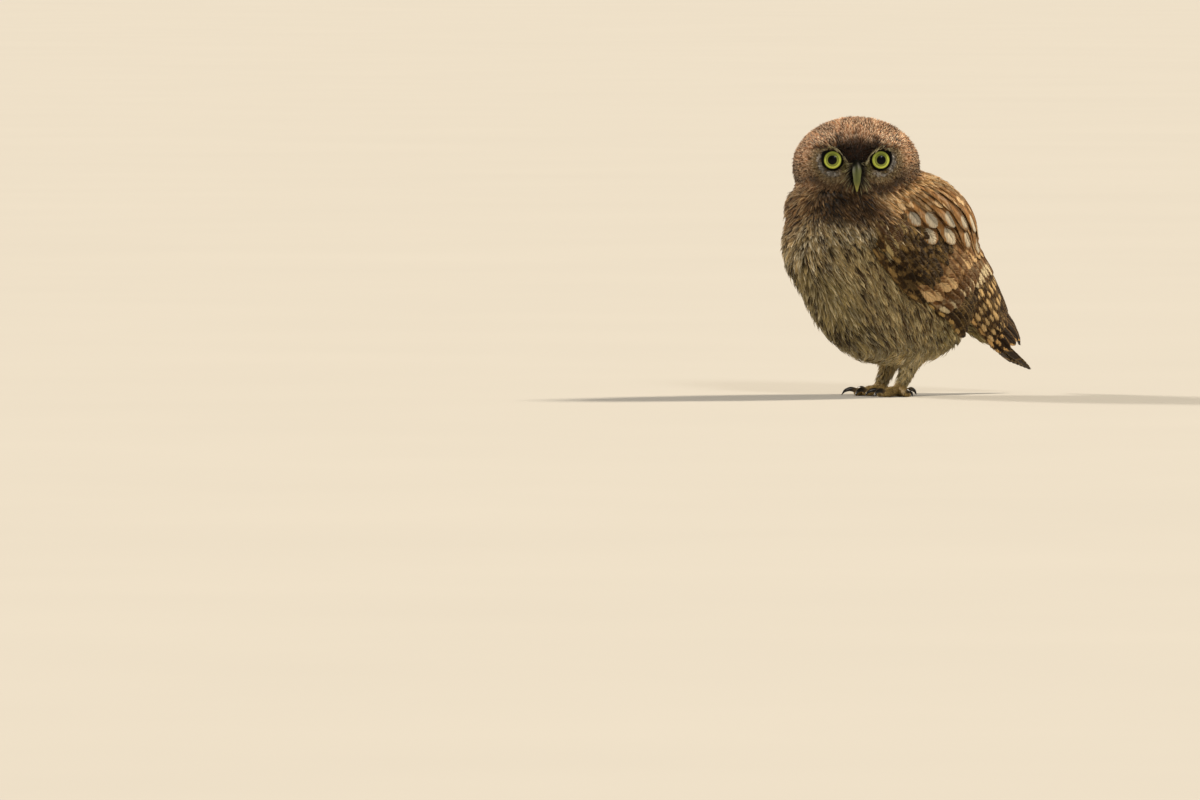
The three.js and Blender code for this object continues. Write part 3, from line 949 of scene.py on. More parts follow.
@dataclass(frozen=True)
class Plumage:
    """Where each patch of body plumage lies, how long its feathers are and which way they lie."""

    stance: Stance
    wing: "Wing"
    parting: float = 9.0

    def on_head(self, p: Array) -> Array:
        """How much points belong to the head."""
        gap = self.stance.trunk.distance(p) - self.stance.head.distance(p)
        return ramp(-5.0, 5.0, gap)

    def masks(self, p: Array) -> dict[Patch, Array]:
        """Finds the share of each patch.

        Args:
            p: Points on the body.

        Returns:
            A share from 0 to 1 for each patch and point.
        """
        x, y, z = p[..., 0], p[..., 1], p[..., 2]
        q = self.stance.head.local(p)
        hx, hy, hz = np.abs(q[..., 0]), q[..., 1], q[..., 2]
        head = self.on_head(p)
        normal = self.stance.cover.normal(p)
        front = ramp(-6, -16, hy) * head
        eye = np.hypot(hx - EYE_AT[0], hz - EYE_AT[1])
        eye_turn = np.arctan2(hz - EYE_AT[1], hx - EYE_AT[0])
        above = hz - np.interp(hx, BROW_ACROSS, BROW_HEIGHTS)
        wedge = ramp(0.2, 1.0, above) * ramp(27, 12, hz + 0.35 * hx) * ramp(19, 11, hx)
        brow = ramp(1.25, 0.6, np.abs(above)) * ramp(22, 18, hx) * ramp(4.4, 5.4, hx)
        outward = ramp(0.0, 0.6, np.cos(eye_turn + math.radians(42)))
        crescent = ramp(6.0, 6.8, eye) * ramp(10.4, 8.8, eye) * outward
        lore = ramp(1.25, 0.75, np.hypot((hx - 2.4) / 3.4, (hz + 3.5) / 8.5))
        olive = ramp(1.3, 0.6, np.hypot((hx - 6.8) / 2.8, (hz - 0.2) / 3.4))
        disc = ramp(17, 11, eye) * ramp(15, 10, hz)
        down = ramp(0.2, 0.8, np.cos(eye_turn + math.radians(85)))
        ruff = ramp(13.0, 15.5, eye) * ramp(20.5, 17.5, eye) * down
        chin = 0.9 * ramp(1.5, 0.45, np.hypot((q[..., 0] + 3.0) / 23.0, (hz + 24.0) / 12.0)) * ramp(6, -6, hy)
        behind = ramp(-0.1, 0.5, normal[..., 1] * 0.6 + normal[..., 2] * 0.9)
        t, v = self.wing.coordinates(p)
        uneven = patchy(p / 7.0) - 0.5
        return {
            Patch.BREAST: np.ones_like(x),
            Patch.COLLAR: ramp(90, 106, z - 0.25 * x + 10 * uneven) * (1 - behind),
            Patch.BELLY: ramp(82, 64, z + 8 * uneven),
            Patch.FLANK: ramp(20, 34, np.abs(x) + 6 * uneven) * ramp(98, 84, z),
            Patch.VENT: ramp(14, 26, y) * ramp(54, 40, z),
            Patch.LEG: ramp(30, 22, z),
            Patch.BACK: behind * ramp(60, 72, z + 0.8 * y),
            Patch.MANTLE: ramp(-0.5, -0.1, t) * ramp(0.55, 0.15, t) * ramp(-0.45, 0.0, v) * ramp(1.0, 0.5, v),
            Patch.CROWN: head,
            Patch.CHEEK: head * ramp(10, -4, hz) * ramp(14, 4, hy),
            Patch.THROAT: chin,
            Patch.DISC: disc * front * 0.85,
            Patch.RUFF: ruff * front * 0.85,
            Patch.FOREHEAD: wedge * front,
            Patch.CRESCENT: crescent * front * ramp(0.2, 0.45, patchy(p / 1.8, 4.0)) * 0.9,
            Patch.OLIVE: olive * front,
            Patch.BROW: brow * front,
            Patch.LORE: lore * front,
        }

    def streaks(self, p: Array) -> Array:
        """Long streaks that follow the feathers, as values from 0 to 1.

        Args:
            p: Points on the body.

        Returns:
            High values on the streaks of the breast and belly and on the rays of the face.
        """
        x, y, z = p[..., 0] - self.parting, p[..., 1], p[..., 2]
        around = np.arctan2(x, 5 - y) * 48
        across = around + 0.45 * np.tanh(around / 9) * (z - 70)
        long = patchy(np.stack([across / 2.3, z / 15.0], -1), 3.0)
        q = self.stance.head.local(p)
        hx, hz = np.abs(q[..., 0]) - EYE_AT[0], q[..., 2] - EYE_AT[1]
        rays = patchy(np.stack([np.arctan2(hz, hx) * 7.0, np.hypot(hx, hz) / 9.0], -1), 5.0)
        return mix(long, rays, self.on_head(p))

    def tint(self, p: Array, across: Array, along: Array, chance: Array, own: Array) -> Array:
        """The colour of points on strands or on skin.

        Args:
            p: The places of the feathers' roots.
            across: Place across the feather, 0 in the middle and 1 at its edges.
            along: Place along it, 0 at the root and 1 at the tip.
            chance: A random number for each feather.
            own: A random number for each strand.

        Returns:
            Linear colours.
        """
        colour = np.zeros(np.broadcast(across, p[..., 0]).shape + (3,))
        for patch, mask in self.masks(p).items():
            tone: Tone = patch.value
            streaked = ramp(tone.streak_share + 0.04, tone.streak_share - 0.08, chance)
            streak = streaked * ramp(0.95, 0.35, across) * ramp(0.05, 0.3, along) * ramp(1.15, 0.8, along)
            tipped = ramp(tone.tip_share, tone.tip_share * 0.8, own) * ramp(0.4, 0.85, along)
            paint = mix(linear(tone.ground), linear(tone.streak), streak[..., None])
            paint = mix(paint, linear(tone.tip), (tipped * (1 - 0.75 * streak))[..., None])
            colour = mix(colour, paint, mask[..., None])
        cloud = 0.8 + 0.4 * patchy(p / 11.0, 9.0)
        light = (0.27 + 0.87 * along**1.3) * (0.78 + 0.44 * own) * (0.62 + 0.76 * ((chance * 7.3) % 1)) * cloud
        return colour * light[..., None]

    def lie(self, p: Array) -> Array:
        """Which way the feathers lie.

        Args:
            p: Points on the body.

        Returns:
            Unit vectors along the surface, from root to tip.
        """
        head = self.on_head(p)[..., None]
        q = self.stance.head.local(p)
        source = np.stack([0 * q[..., 0], 0 * q[..., 1] - 33.0, 0 * q[..., 2] + 3.0], -1)
        eye = np.stack([np.sign(q[..., 0]) * EYE_AT[0], 0 * q[..., 1] - 26.0, 0 * q[..., 2] + EYE_AT[1]], -1)
        near = ramp(16.0, 8.0, np.linalg.norm((q - eye)[..., [0, 2]], axis=-1))[..., None]
        out = unit(q - source)
        out = mix(out, unit(q - eye), near * 0.75)
        out[..., 2] -= 0.45 * ramp(8, -10, q[..., 2]) * ramp(-34, -10, q[..., 1])
        head_lie = out @ self.stance.head.axes
        x, y, z = p[..., 0] - self.parting, p[..., 1], p[..., 2]
        fan = np.tanh(x / 9.0) * ramp(30, -20, y) * mix(0.34, 0.62, ramp(50, 95, z))
        trunk_lie = np.stack([fan, mix(0.25, 0.85, ramp(-20, 50, y)), np.full_like(x, -0.85)], -1)
        wing_way = self.wing.axes[0]
        trunk_lie = mix(unit(trunk_lie), wing_way, ramp(0.5, 4.0, self.wing.swell(p))[..., None])
        tail_way = np.array([0, 0.81, -0.59])
        trunk_lie = mix(trunk_lie, tail_way, ramp(48, 60, y)[..., None])
        shank = np.array([0.0, -0.32, -0.95])
        trunk_lie = mix(trunk_lie, shank, ramp(32, 24, z)[..., None])
        normal = self.stance.cover.normal(p)
        way = mix(unit(trunk_lie), unit(head_lie), head)
        return unit(way - normal * (way * normal).sum(-1, keepdims=True))

    def depth(self, p: Array) -> Array:
        """How deep the coat is.

        Args:
            p: Points on the body.

        Returns:
            Millimetres from the tips of the coat down to the skin.
        """
        q = self.stance.head.local(p)
        head = self.on_head(p)
        face = ramp(-8, -18, q[..., 1]) * ramp(-24, -14, q[..., 2]) * ramp(13.5, 9.5, q[..., 2])
        trunk = mix(4.0, 5.5, ramp(90, 60, p[..., 2]))
        trunk = mix(trunk, 2.3, np.maximum(ramp(30, 22, p[..., 2]), ramp(54, 62, p[..., 1])))
        return mix(trunk, mix(3.0, 1.3, face), head)

    def length(self, p: Array) -> Array:
        """How long the feathers are.

        Args:
            p: Points on the body.

        Returns:
            Lengths in millimetres.
        """
        q = self.stance.head.local(p)
        head = self.on_head(p)
        face = ramp(-8, -18, q[..., 1]) * ramp(-24, -12, q[..., 2]) * ramp(14.0, 10.0, q[..., 2])
        eye = np.hypot(np.abs(q[..., 0]) - EYE_AT[0], q[..., 2] - EYE_AT[1])
        face_length = mix(2.2, 4.6, ramp(7, 16, eye))
        trunk = mix(9.5, 14.0, ramp(98, 64, p[..., 2]))
        trunk = mix(trunk, 6.0, ramp(32, 20, p[..., 2]))
        return mix(trunk, mix(5.5, face_length, face), head)


@dataclass(frozen=True)
class CoatArea:
    """One piece of the coat: how its feathers are made."""

    name: str
    strands: int
    share: float
    width: float
    spread: float
    gather: float = 0.5
    untidy: float = 0.5
    loose: float = 0.9
    lengths: float = 1.0
    long_share: float = 0.0
    swollen: bool = False
    rings: int = 3


class Area(Enum):
    """The coat's pieces."""

    FACE = CoatArea("coat_face", 2, 2.6, 0.4, 0.35, 0.3, 0.4, 0.4, rings=2)
    CROWN = CoatArea("coat_crown", 3, 1.9, 0.5, 0.7, 0.5, 0.6, 0.9, 1.05, rings=2)
    NAPE = CoatArea("coat_nape", 3, 1.3, 0.7, 0.9, 0.5, 0.6, 0.9, 1.1, rings=2)
    CHEEKS = CoatArea("coat_cheeks", 3, 1.3, 0.62, 0.7, 0.6, 0.6, 1.0, 1.1)
    COLLAR = CoatArea("coat_collar", 5, 0.5, 0.8, 1.5, 0.75, 0.8, 1.8, 1.0, 0.07)
    BREAST = CoatArea("coat_breast", 6, 0.36, 0.86, 1.9, 0.85, 0.8, 2.1, 1.0, 0.07)
    BELLY = CoatArea("coat_belly", 6, 0.31, 0.9, 2.0, 0.8, 1.0, 2.2, 1.0, 0.06)
    VENT = CoatArea("coat_vent", 6, 0.34, 0.86, 1.9, 0.5, 1.1, 2.4, 0.95, 0.06)
    BACK = CoatArea("coat_back", 5, 0.5, 0.95, 1.6, 0.6, 0.5, 0.9, 1.0, 0.0, True)
    MANTLE = CoatArea("coat_mantle", 5, 0.42, 0.95, 1.8, 0.6, 0.6, 1.1, 1.15, 0.04, True)
    LEGS = CoatArea("coat_legs", 3, 1.0, 0.55, 0.7, 0.4, 0.9, 0.8, 1.0, rings=2)


@dataclass(frozen=True)
class BareShape(Shape):
    """The body without its coat."""

    stance: Stance
    plumage: Plumage

    def distance(self, p: Array) -> Array:
        """See Shape.distance."""
        return self.stance.cover.distance(p) + self.plumage.depth(p)


@dataclass(frozen=True)
class SwollenShape(Shape):
    """The body where the feathers of the back and shoulders run on over the wings' edges."""

    stance: Stance
    wing: "Wing"

    def distance(self, p: Array) -> Array:
        """See Shape.distance."""
        return self.stance.cover.distance(p) - self.wing.swell(p)


@dataclass
class Skin:
    """One skin over head, neck, trunk and legs, below the coat by the coat's depth."""

    stance: Stance
    plumage: Plumage
    voxel: float = 1.35
    leg_depth: float = 2.3
    ledge_depth: float = 0.6
    trunk_centre: tuple[float, float, float] = (0.0, 0.0, 80.0)
    points: Array = field(default_factory=lambda: np.zeros((0, 3)))

    def shell(self, rough: Piece, centre: tuple, shape: Shape, reach: float) -> None:
        """Adds a closed surface as seen from a centre.

        Args:
            rough: Takes the surface.
            centre: The place that sees it.
            shape: The body to find.
            reach: How far the rays go.
        """
        rings, around = 72, 96
        ways = globe(rings, around)
        points = np.array(centre) + ways * shape.cast(np.array(centre), ways, reach)[:, None]
        ends = np.stack([points[:around].mean(0), points[-around:].mean(0)])
        rough.add(np.concatenate([points, ends])[None], *ring_faces(rings, around))

    def build(self, finish: bpy.types.Material) -> bpy.types.Object:
        """Makes the skin and keeps its points for the coat.

        Args:
            finish: The skin's material.

        Returns:
            The skin.
        """
        rough = Piece("rough_skin")
        bare = BareShape(self.stance, self.plumage)
        low = Ellipsoid(RUMP.at, tuple(np.array(RUMP.size) - self.leg_depth), RUMP.pitch)
        self.shell(rough, self.trunk_centre, bare, 95.0)
        self.shell(rough, self.stance.head.centre, bare, 60.0)
        self.shell(rough, RUMP.at, low, 30.0)
        for side in Side:
            rings, around = 20, 20
            line = smooth_line(leg_line(side), rings)
            radii = stations(LEG_RADII, np.linspace(0, 1, rings)) - self.leg_depth
            ways = unit(np.gradient(line, axis=0))
            across = unit(np.cross(ways, [0, 1, 0]))
            points = tube_points(line, across, np.cross(across, ways), radii, around)
            rough.add(points[None], *ring_faces(rings, around))
        piece = rough.build(self.stance, finish)
        remesh = piece.modifiers.new("one skin", "REMESH")
        remesh.mode, remesh.voxel_size = "VOXEL", self.voxel * MILLIMETRE
        piece.modifiers.new("ease", "SMOOTH").iterations = 4
        drawn = piece.evaluated_get(bpy.context.evaluated_depsgraph_get())
        mesh = bpy.data.meshes.new_from_object(drawn)
        bpy.data.objects.remove(piece)
        mesh.name = "skin"
        places = np.zeros(len(mesh.vertices) * 3, np.float32)
        mesh.vertices.foreach_get("co", places)
        points = places.reshape(-1, 3) / MILLIMETRE - np.array([0, self.stance.shift, 0])
        sunk = self.stance.cover.settle(points, -self.plumage.depth(points), 2)
        self.points = points + np.clip(sunk - points, -1.5, 1.5)
        q = self.stance.head.local(self.points)
        ledge = ramp(9.5, 12.5, q[:, 2]) * ramp(22, 18, q[:, 2]) * ramp(8, 12, np.abs(q[:, 0])) * ramp(-9, -15, q[:, 1])
        self.points -= self.stance.cover.normal(self.points) * (self.ledge_depth * ledge)[:, None]
        mesh.vertices.foreach_set("co", self.stance.place(self.points).astype(np.float32).ravel())
        middle = np.full(len(self.points), 0.5)
        write_tint(mesh, self.plumage.tint(self.points, middle, middle * 0.6, middle, middle) * 0.6)
        mesh.polygons.foreach_set("use_smooth", np.ones(len(mesh.polygons), bool))
        mesh.materials.clear()
        mesh.materials.append(finish)
        return new_object("skin", mesh)


STRAND_STEPS = {2: (0.0, 0.55, 1.0), 3: (0.0, 0.38, 0.74, 1.0)}
STRAND_PROFILE = {2: (0.85, 0.95), 3: (0.75, 1.0, 0.72)}


def strand_faces(rings: int) -> tuple[Array, Array]:
    """Faces of a strand of three-sided rings that ends in a point.

    Args:
        rings: How many rings there are before the tip.

    Returns:
        The four-sided faces and the triangles.
    """
    quads, _ = ring_faces(rings, 3)
    tip = rings * 3
    last = tip - 3
    ends = [[0, 1, 2], [last, last + 2, tip], [last + 2, last + 1, tip], [last + 1, last, tip]]
    return quads[:, ::-1], np.array(ends)


def strand_points(spine: Array, side: Array, up: Array, half: Array, ridge: float) -> Array:
    """Points of thin strands, each ring a low triangle and the end a point.

    Args:
        spine: The middle of each ring and the tip, as (strands, rings + 1, 3).
        side: Unit vectors across the strands at the same places.
        up: Unit vectors away from the body at the same places.
        half: Half-widths, as (strands, rings).
        ridge: The height of the ridge as a share of the width.

    Returns:
        Points as (strands, 3 * rings + 1, 3).
    """
    rings = spine[:, :-1]
    left = rings - side[:, :-1] * half[..., None]
    right = rings + side[:, :-1] * half[..., None]
    top = rings + up[:, :-1] * (half * 2 * ridge)[..., None]
    points = np.stack([left, top, right], 2).reshape(len(spine), -1, 3)
    return np.concatenate([points, spine[:, -1:]], 1)


def strand_along(rings: int) -> Array:
    """How far along its strand each point of a strand is, from 0 to 1."""
    return np.append(np.repeat(STRAND_STEPS[rings][:-1], 3), 1.0)


def add_strands(piece: Piece, spine: Array, up: Array, half: Array, ridge: float, tint: Array, spots: Array) -> None:
    """Adds single strands of three rings.

    Args:
        piece: Takes the strands.
        spine: The middle of each ring and the tip, as (strands, 4, 3).
        up: Directions away from the body at the same places.
        half: Half-widths, as (strands, 3).
        ridge: The height of the ridge as a share of the width.
        tint: A colour for each point.
        spots: Each strand's place on the bake map.
    """
    side = unit(np.cross(up, unit(np.gradient(spine, axis=1))))
    along = strand_along(3)
    patch = np.stack([0 * along + 0.5, along], -1) * BAKE_PATCH
    piece.add(strand_points(spine, side, up, half, ridge), *strand_faces(3), tint=tint, OFBake=spots[:, None] + patch)


@dataclass
class Coat:
    """The soft feathers over the skin, as thin solid strands gathered into feathers."""

    stance: Stance
    plumage: Plumage
    wing: "Wing"
    thickness: float = 0.34

    def area_of(self, p: Array, chance: Array) -> Array:
        """Sorts roots into the coat's pieces.

        Args:
            p: The roots.
            chance: A random number for each root, which blurs the borders.

        Returns:
            The number of each root's area in Area, or -1 where no feather grows.
        """
        _, y, z = p.T
        hx, hy, hz = self.stance.head.local(p).T
        head = self.plumage.on_head(p) + (chance - 0.5) * 0.5 > 0.5
        blur = (chance - 0.5) * 5
        normal = self.stance.body.normal(p)
        t, v = self.wing.coordinates(p)
        shoulder = (t > -0.16) & (v > -0.16) & (t + np.maximum(v, 0) + blur * 0.014 < 0.56)
        front = (t > -0.14) & (t + blur * 0.008 < 0.1) & (v >= 0.36) & (v < 1.08)
        rim = (t > 0) & (t < 0.72) & (v > -0.24) & (v + blur * 0.01 < 0.13)
        eye = np.hypot(np.abs(hx) - EYE_AT[0], hz - EYE_AT[1])
        bill = (np.abs(hx) < 2.4) & (hz < 1.5) & (hz > -13) & (hy < -18)
        rules = (
            (Area.BELLY, z + blur < 66),
            (Area.COLLAR, z + blur > 96),
            (Area.VENT, (y + blur > 14) & (z < 62)),
            (Area.BACK, (normal[:, 1] * 0.6 + normal[:, 2] > 0.3) & (z + y > 84)),
            (None, self.wing.covers(p)),
            (Area.MANTLE, shoulder | front | rim),
            (Area.NAPE, head),
            (Area.CROWN, head & (hy + blur < 8)),
            (Area.CHEEKS, head & (hy < 6) & (hz + blur < -6)),
            (Area.FACE, head & (hy < -12) & (eye + blur < 17) & (hz + blur * 0.3 < 12.0)),
            (Area.LEGS, z < 27),
            (None, (z < 6.0) | ((hy < -10) & (eye < 6.1)) | bill),
        )
        numbers = {area: number for number, area in enumerate(Area)}
        label = np.full(len(p), numbers[Area.BREAST])
        for area, mask in rules:
            label[mask] = numbers.get(area, -1)
        return label

    def build(self, roots: Array, finish: bpy.types.Material) -> list[bpy.types.Object]:
        """Makes all pieces of the coat.

        Args:
            roots: The skin's points, where feathers may grow.
            finish: The coat's material.

        Returns:
            The pieces.
        """
        draw = np.random.default_rng(SEEDS["coat"])
        label = self.area_of(roots, draw.random(len(roots)))
        pieces = []
        for number, area in enumerate(Area):
            made: CoatArea = area.value
            own = roots[label == number]
            copies = np.floor(made.share + draw.random(len(own))).astype(int)
            own = np.repeat(own, copies, axis=0)
            own = own + draw.uniform(-0.7, 0.7, own.shape)
            piece = Piece(made.name)
            self.grow(piece, own, made, draw, 0.0)
            if made.long_share:
                few = roots[label == number]
                few = few[draw.random(len(few)) < made.long_share]
                longer = replace(made, strands=5, lengths=made.lengths * 1.4, untidy=made.untidy * 1.3)
                self.grow(piece, few, longer, draw, 0.55)
            pieces.append(piece.build(self.stance, finish))
            LOG.info("%s: %d feathers, %d points", made.name, len(own), piece.count)
        return pieces

    def grow(self, piece: Piece, roots: Array, made: CoatArea, draw: np.random.Generator, over: float) -> None:
        """Grows feathers of several strands from their roots.

        Args:
            piece: Takes the strands.
            roots: One point for each feather.
            made: How the feathers are made.
            draw: The random draws.
            over: How much higher the tips lie than the coat's surface.
        """
        count, strands, rings, plumage = len(roots), made.strands, made.rings, self.plumage
        body = SwollenShape(self.stance, self.wing) if made.swollen else self.stance.cover
        depth = np.full(count, 2.2) if made.swollen else plumage.depth(roots)
        home = roots
        roots = body.settle(roots, -depth - 0.3, 3)
        length = plumage.length(roots) * made.lengths * draw.uniform(0.75, 1.2, count)
        top = over + draw.normal(-0.2, 0.28, count) * made.loose
        here, centre, ways, ups = roots, [roots], [], []
        shares = np.array(STRAND_STEPS[rings])
        for k, share in enumerate(shares):
            way = plumage.lie(here)
            sway = draw.normal(0, 0.16 * made.untidy, (count, 1)) if k < 2 else 0.0
            up = body.normal(here)
            way = way - up * (way * up).sum(-1, keepdims=True)
            way = unit(way + np.cross(up, way) * sway)
            ways.append(way)
            ups.append(up)
            if k < rings:
                here = here + way * ((shares[k + 1] - share) * length)[:, None]
                here = body.settle(here, mix(-depth, top, 1 - (1 - shares[k + 1]) ** 1.7), 2)
                centre.append(here)
        centre, ways, ups = (np.stack(v, 1) for v in (centre, ways, ups))
        sides = unit(np.cross(ups, ways))
        place = np.linspace(-1, 1, strands) + draw.normal(0, 0.12, (count, strands))
        reach = draw.uniform(0.78, 1.1, (count, strands)) * (1 - 0.22 * np.abs(place))
        offset = place[:, :, None] * (1 - made.gather * shares**1.5) * made.spread
        lift = draw.normal(0, 0.1, (count, strands)) * made.loose
        spine = centre[:, None] + sides[:, None] * offset[..., None]
        spine = spine + ups[:, None] * (lift[:, :, None] * shares)[..., None]
        spine = spine[:, :, :1] + (spine - spine[:, :, :1]) * reach[:, :, None, None]
        spine = spine.reshape(count * strands, len(shares), 3)
        half = made.width / 2 * draw.uniform(0.7, 1.25, (count * strands, 1)) * np.array(STRAND_PROFILE[rings])
        points = strand_points(spine, np.repeat(sides, strands, 0), np.repeat(ups, strands, 0), half, self.thickness)
        along = strand_along(rings)
        seen = centre[:, -2]
        dark = 1 - plumage.streaks(seen)
        chance = np.repeat(np.clip(0.35 * draw.random(count) + 0.9 * (dark - 0.5) + 0.32, 0, 1), strands)
        own = draw.random(count * strands)
        tint = self.tints(np.repeat(seen, strands, 0), np.abs(place).reshape(-1), along, chance, own)
        across = np.append(np.tile([-1.0, 0.0, 1.0], rings), 0.0)
        patch = np.stack([across * 0.5 + 0.5, along], -1) * BAKE_PATCH
        patch[1::3, 1] -= BAKE_PATCH * 0.12
        base = np.repeat(roots if made.swollen else home, strands, 0)
        piece.add(points, *strand_faces(rings), tint=tint, OFBake=self.unwrap(base)[:, None] + patch[None])

    def tints(self, home: Array, edge: Array, along: Array, chance: Array, own: Array) -> Array:
        """Colours for all points of strands.

        Args:
            home: The feather's root for each strand.
            edge: How far each strand is from its feather's middle.
            along: Place along the strand for each of its points.
            chance: A random number for each feather.
            own: A random number for each strand.

        Returns:
            Colours as (strands, points, 3).
        """
        levels = np.unique(along)
        painted = [self.plumage.tint(home, edge, np.full(len(home), v), chance, own) for v in levels]
        index = np.searchsorted(levels, along)
        return np.stack(painted, 1)[:, index]

    def unwrap(self, p: Array) -> Array:
        """Places on a flat unwrap of the skin, as longitude and latitude about its middle.

        Args:
            p: Points on the skin.

        Returns:
            Two values from 0 to 1 for each point.
        """
        q = p - p.mean(0)
        turn = np.arctan2(q[:, 1], q[:, 0])
        rise = np.arctan2(q[:, 2], np.hypot(q[:, 0], q[:, 1]))
        flat = np.stack([turn, rise], -1)
        low, high = flat.min(0), flat.max(0)
        return (flat - low) / np.maximum(high - low, TINY) * 0.99 + 0.002


# Flat feathers


@dataclass(frozen=True)
class Laid:
    """Where one feather lies.

    The path is points along the shaft at even shares, out the outward directions there, cell the start and the
    end of the feather's strip of the bake map, and chance a random number for the feather.
    """

    path: Array
    out: Array
    side: Side
    cell: tuple[float, float]
    chance: float

    @property
    def length(self) -> float:
        """The feather's length in millimetres."""
        return float(np.linalg.norm(np.diff(self.path, axis=0), axis=1).sum())


@dataclass(frozen=True)
class Feather:
    """The form of one flat feather: a thin sheet, a shaft over it and single barbs to both sides."""

    width: float
    tilt: float = 1.2
    camber: float = 0.5
    round_tip: float = 0.3
    narrow: float = 0.6
    spacing: float = 0.62
    barb: float = 0.62
    slant: float = 1.4
    ragged: float = 0.045
    splits: int = 3
    bare: float = 0.3
    unit_length: float = 40.0
    sheet: float = 0.22
    under: float = 0.08
    rows: int = 10
    columns: int = 6
    barb_shares: tuple[float, ...] = (0.0, 0.5, 0.86, 1.0)
    barb_profile: tuple[float, ...] = (1.0, 1.0, 0.7)
    shaft_shares: tuple[float, ...] = (0.0, 0.2, 0.4, 0.6, 0.8, 0.96)
    shaft_profile: tuple[float, ...] = (0.34, 0.3, 0.25, 0.19, 0.12)

    def half(self, t: Array) -> Array:
        """Half the feather's width at shares of its length."""
        body = mix(self.narrow, 1.0, ramp(0.0, 0.4, t))
        past = np.clip((t - 1 + self.round_tip) / self.round_tip, 0, 1)
        return self.width / 2 * body * np.sqrt(1 - past**2)

    def lay(self, at: Laid, u: Array, t: Array) -> tuple[Array, Array]:
        """Puts places on the feather into space. The outer web is the lower one on both sides of the bird.

        Args:
            at: Where the feather lies.
            u: Millimetres across the feather.
            t: Shares of its length.

        Returns:
            The points and the outward directions there.
        """
        path, out = at.path, at.out
        k = np.clip(t, 0, 1 - 1e-6) * (len(path) - 1)
        i = k.astype(int)
        f = (k - i)[..., None]
        ways = unit(np.gradient(path, axis=0))
        up = unit(mix(out[i], out[i + 1], f))
        across = unit(np.cross(mix(ways[i], ways[i + 1], f), up)) * at.side.value
        w = u / (self.width / 2)
        rise = self.camber * (1 - w**2) + self.tilt * w / 2
        return mix(path[i], path[i + 1], f) + across * u[..., None] + up * rise[..., None], up

    def faces(self, side: Side) -> Array:
        """Four-sided faces of the sheet: its top, its bottom and the rim between them.

        Args:
            side: The bird's side.

        Returns:
            The faces, which look outward on that side.
        """
        m, n = self.rows, self.columns
        i, j = np.meshgrid(np.arange(m - 1), np.arange(n - 1), indexing="ij")
        a = (i * n + j).ravel()
        top = np.stack([a, a + 1, a + n + 1, a + n], -1)
        bottom = (top + m * n)[:, ::-1]
        row, column = np.arange(m - 1) * n, np.arange(n - 1)
        far, low = (m - 1) * n, m * n
        rims = [
            np.stack([row, row + n, row + n + low, row + low], -1),
            np.stack([row + n - 1, row + n - 1 + low, row + 2 * n - 1 + low, row + 2 * n - 1], -1),
            np.stack([column, column + low, column + 1 + low, column + 1], -1),
            np.stack([far + column, far + column + 1, far + column + 1 + low, far + column + low], -1),
        ]
        return np.concatenate([top, bottom, *rims])[:, ::side.value]

    def grow(self, piece: Piece, path: Array, out: Array, side: Side, draw: np.random.Generator,
             cell: tuple[float, float]) -> None:
        """Adds the whole feather to a piece.

        Args:
            piece: Takes the feather.
            path: Points along the shaft at even shares.
            out: Outward directions at the same points.
            side: The bird's side.
            draw: The random draws.
            cell: The start and the end of the feather's strip of the bake map.
        """
        at = Laid(path, out, side, cell, float(draw.random()))
        self.add_sheet(piece, at)
        self.add_shaft(piece, at)
        for web in (-1, 1):
            self.add_web(piece, at, web, draw)

    def labels(self, at: Laid, u: Array, t: Array, own: Array, out: Array, quill: float = 0.0) -> dict[str, Array]:
        """The point data that the finish and the bake read. The marks are measured back from the tip.

        Args:
            at: Where the feather lies.
            u: Millimetres across the feather.
            t: Shares of its length.
            own: A random number for each barb.
            out: Place along the barb.
            quill: 1 on the shaft and 0 elsewhere.

        Returns:
            Values by the name of the attribute.
        """
        w = u / (self.width / 2)
        own, out = np.broadcast_to(own, w.shape), np.broadcast_to(out, w.shape)
        x = mix(*at.cell, 0.5 + 0.47 * w)
        y = 1 - (1 - t) * at.length / self.unit_length
        return {
            "vane": np.stack([w, y, np.full_like(w, at.chance)], -1),
            "barb": np.stack([own, out, np.full_like(w, quill)], -1),
            "OFBake": np.stack([x, 0.01 + 0.98 * t], -1),
        }

    def add_sheet(self, piece: Piece, at: Laid) -> None:
        """Adds the thin sheet under the barbs.

        Args:
            piece: Takes the sheet.
            at: Where the feather lies.
        """
        t = 1 - (1 - np.linspace(0, 0.975, self.rows)) ** 1.3
        w, t = np.meshgrid(np.linspace(-1, 1, self.columns), t)
        u = w * self.half(t) * 0.9
        points, up = self.lay(at, u, t)
        thin = 1 - 0.6 * w**2
        top = points - up * self.under
        bottom = points - up * (self.under + self.sheet * thin)[..., None]
        labels = self.labels(at, u, t, np.full_like(u, 0.25), np.abs(w) * 0.7)
        data = {key: np.tile(v.reshape(-1, v.shape[-1]), (2, 1))[None] for key, v in labels.items()}
        piece.add(np.stack([top, bottom]).reshape(1, -1, 3), self.faces(at.side), None, **data)

    def add_shaft(self, piece: Piece, at: Laid) -> None:
        """Adds the shaft.

        Args:
            piece: Takes the shaft.
            at: Where the feather lies.
        """
        t = np.array(self.shaft_shares)
        spine, up = self.lay(at, 0 * t, t)
        spine = spine + up * self.under
        across = unit(np.cross(up, unit(np.gradient(spine, axis=0))))
        half = np.array(self.shaft_profile) * min(1.0, self.width / 10)
        points = strand_points(spine[None], across[None], up[None], half[None], 0.5)
        rows = np.append(np.repeat(t[:-1], 3), t[-1])
        labels = self.labels(at, 0 * rows, rows, np.full_like(rows, 0.5), 0 * rows, 1.0)
        piece.add(points, *strand_faces(len(half)), **{key: v[None] for key, v in labels.items()})

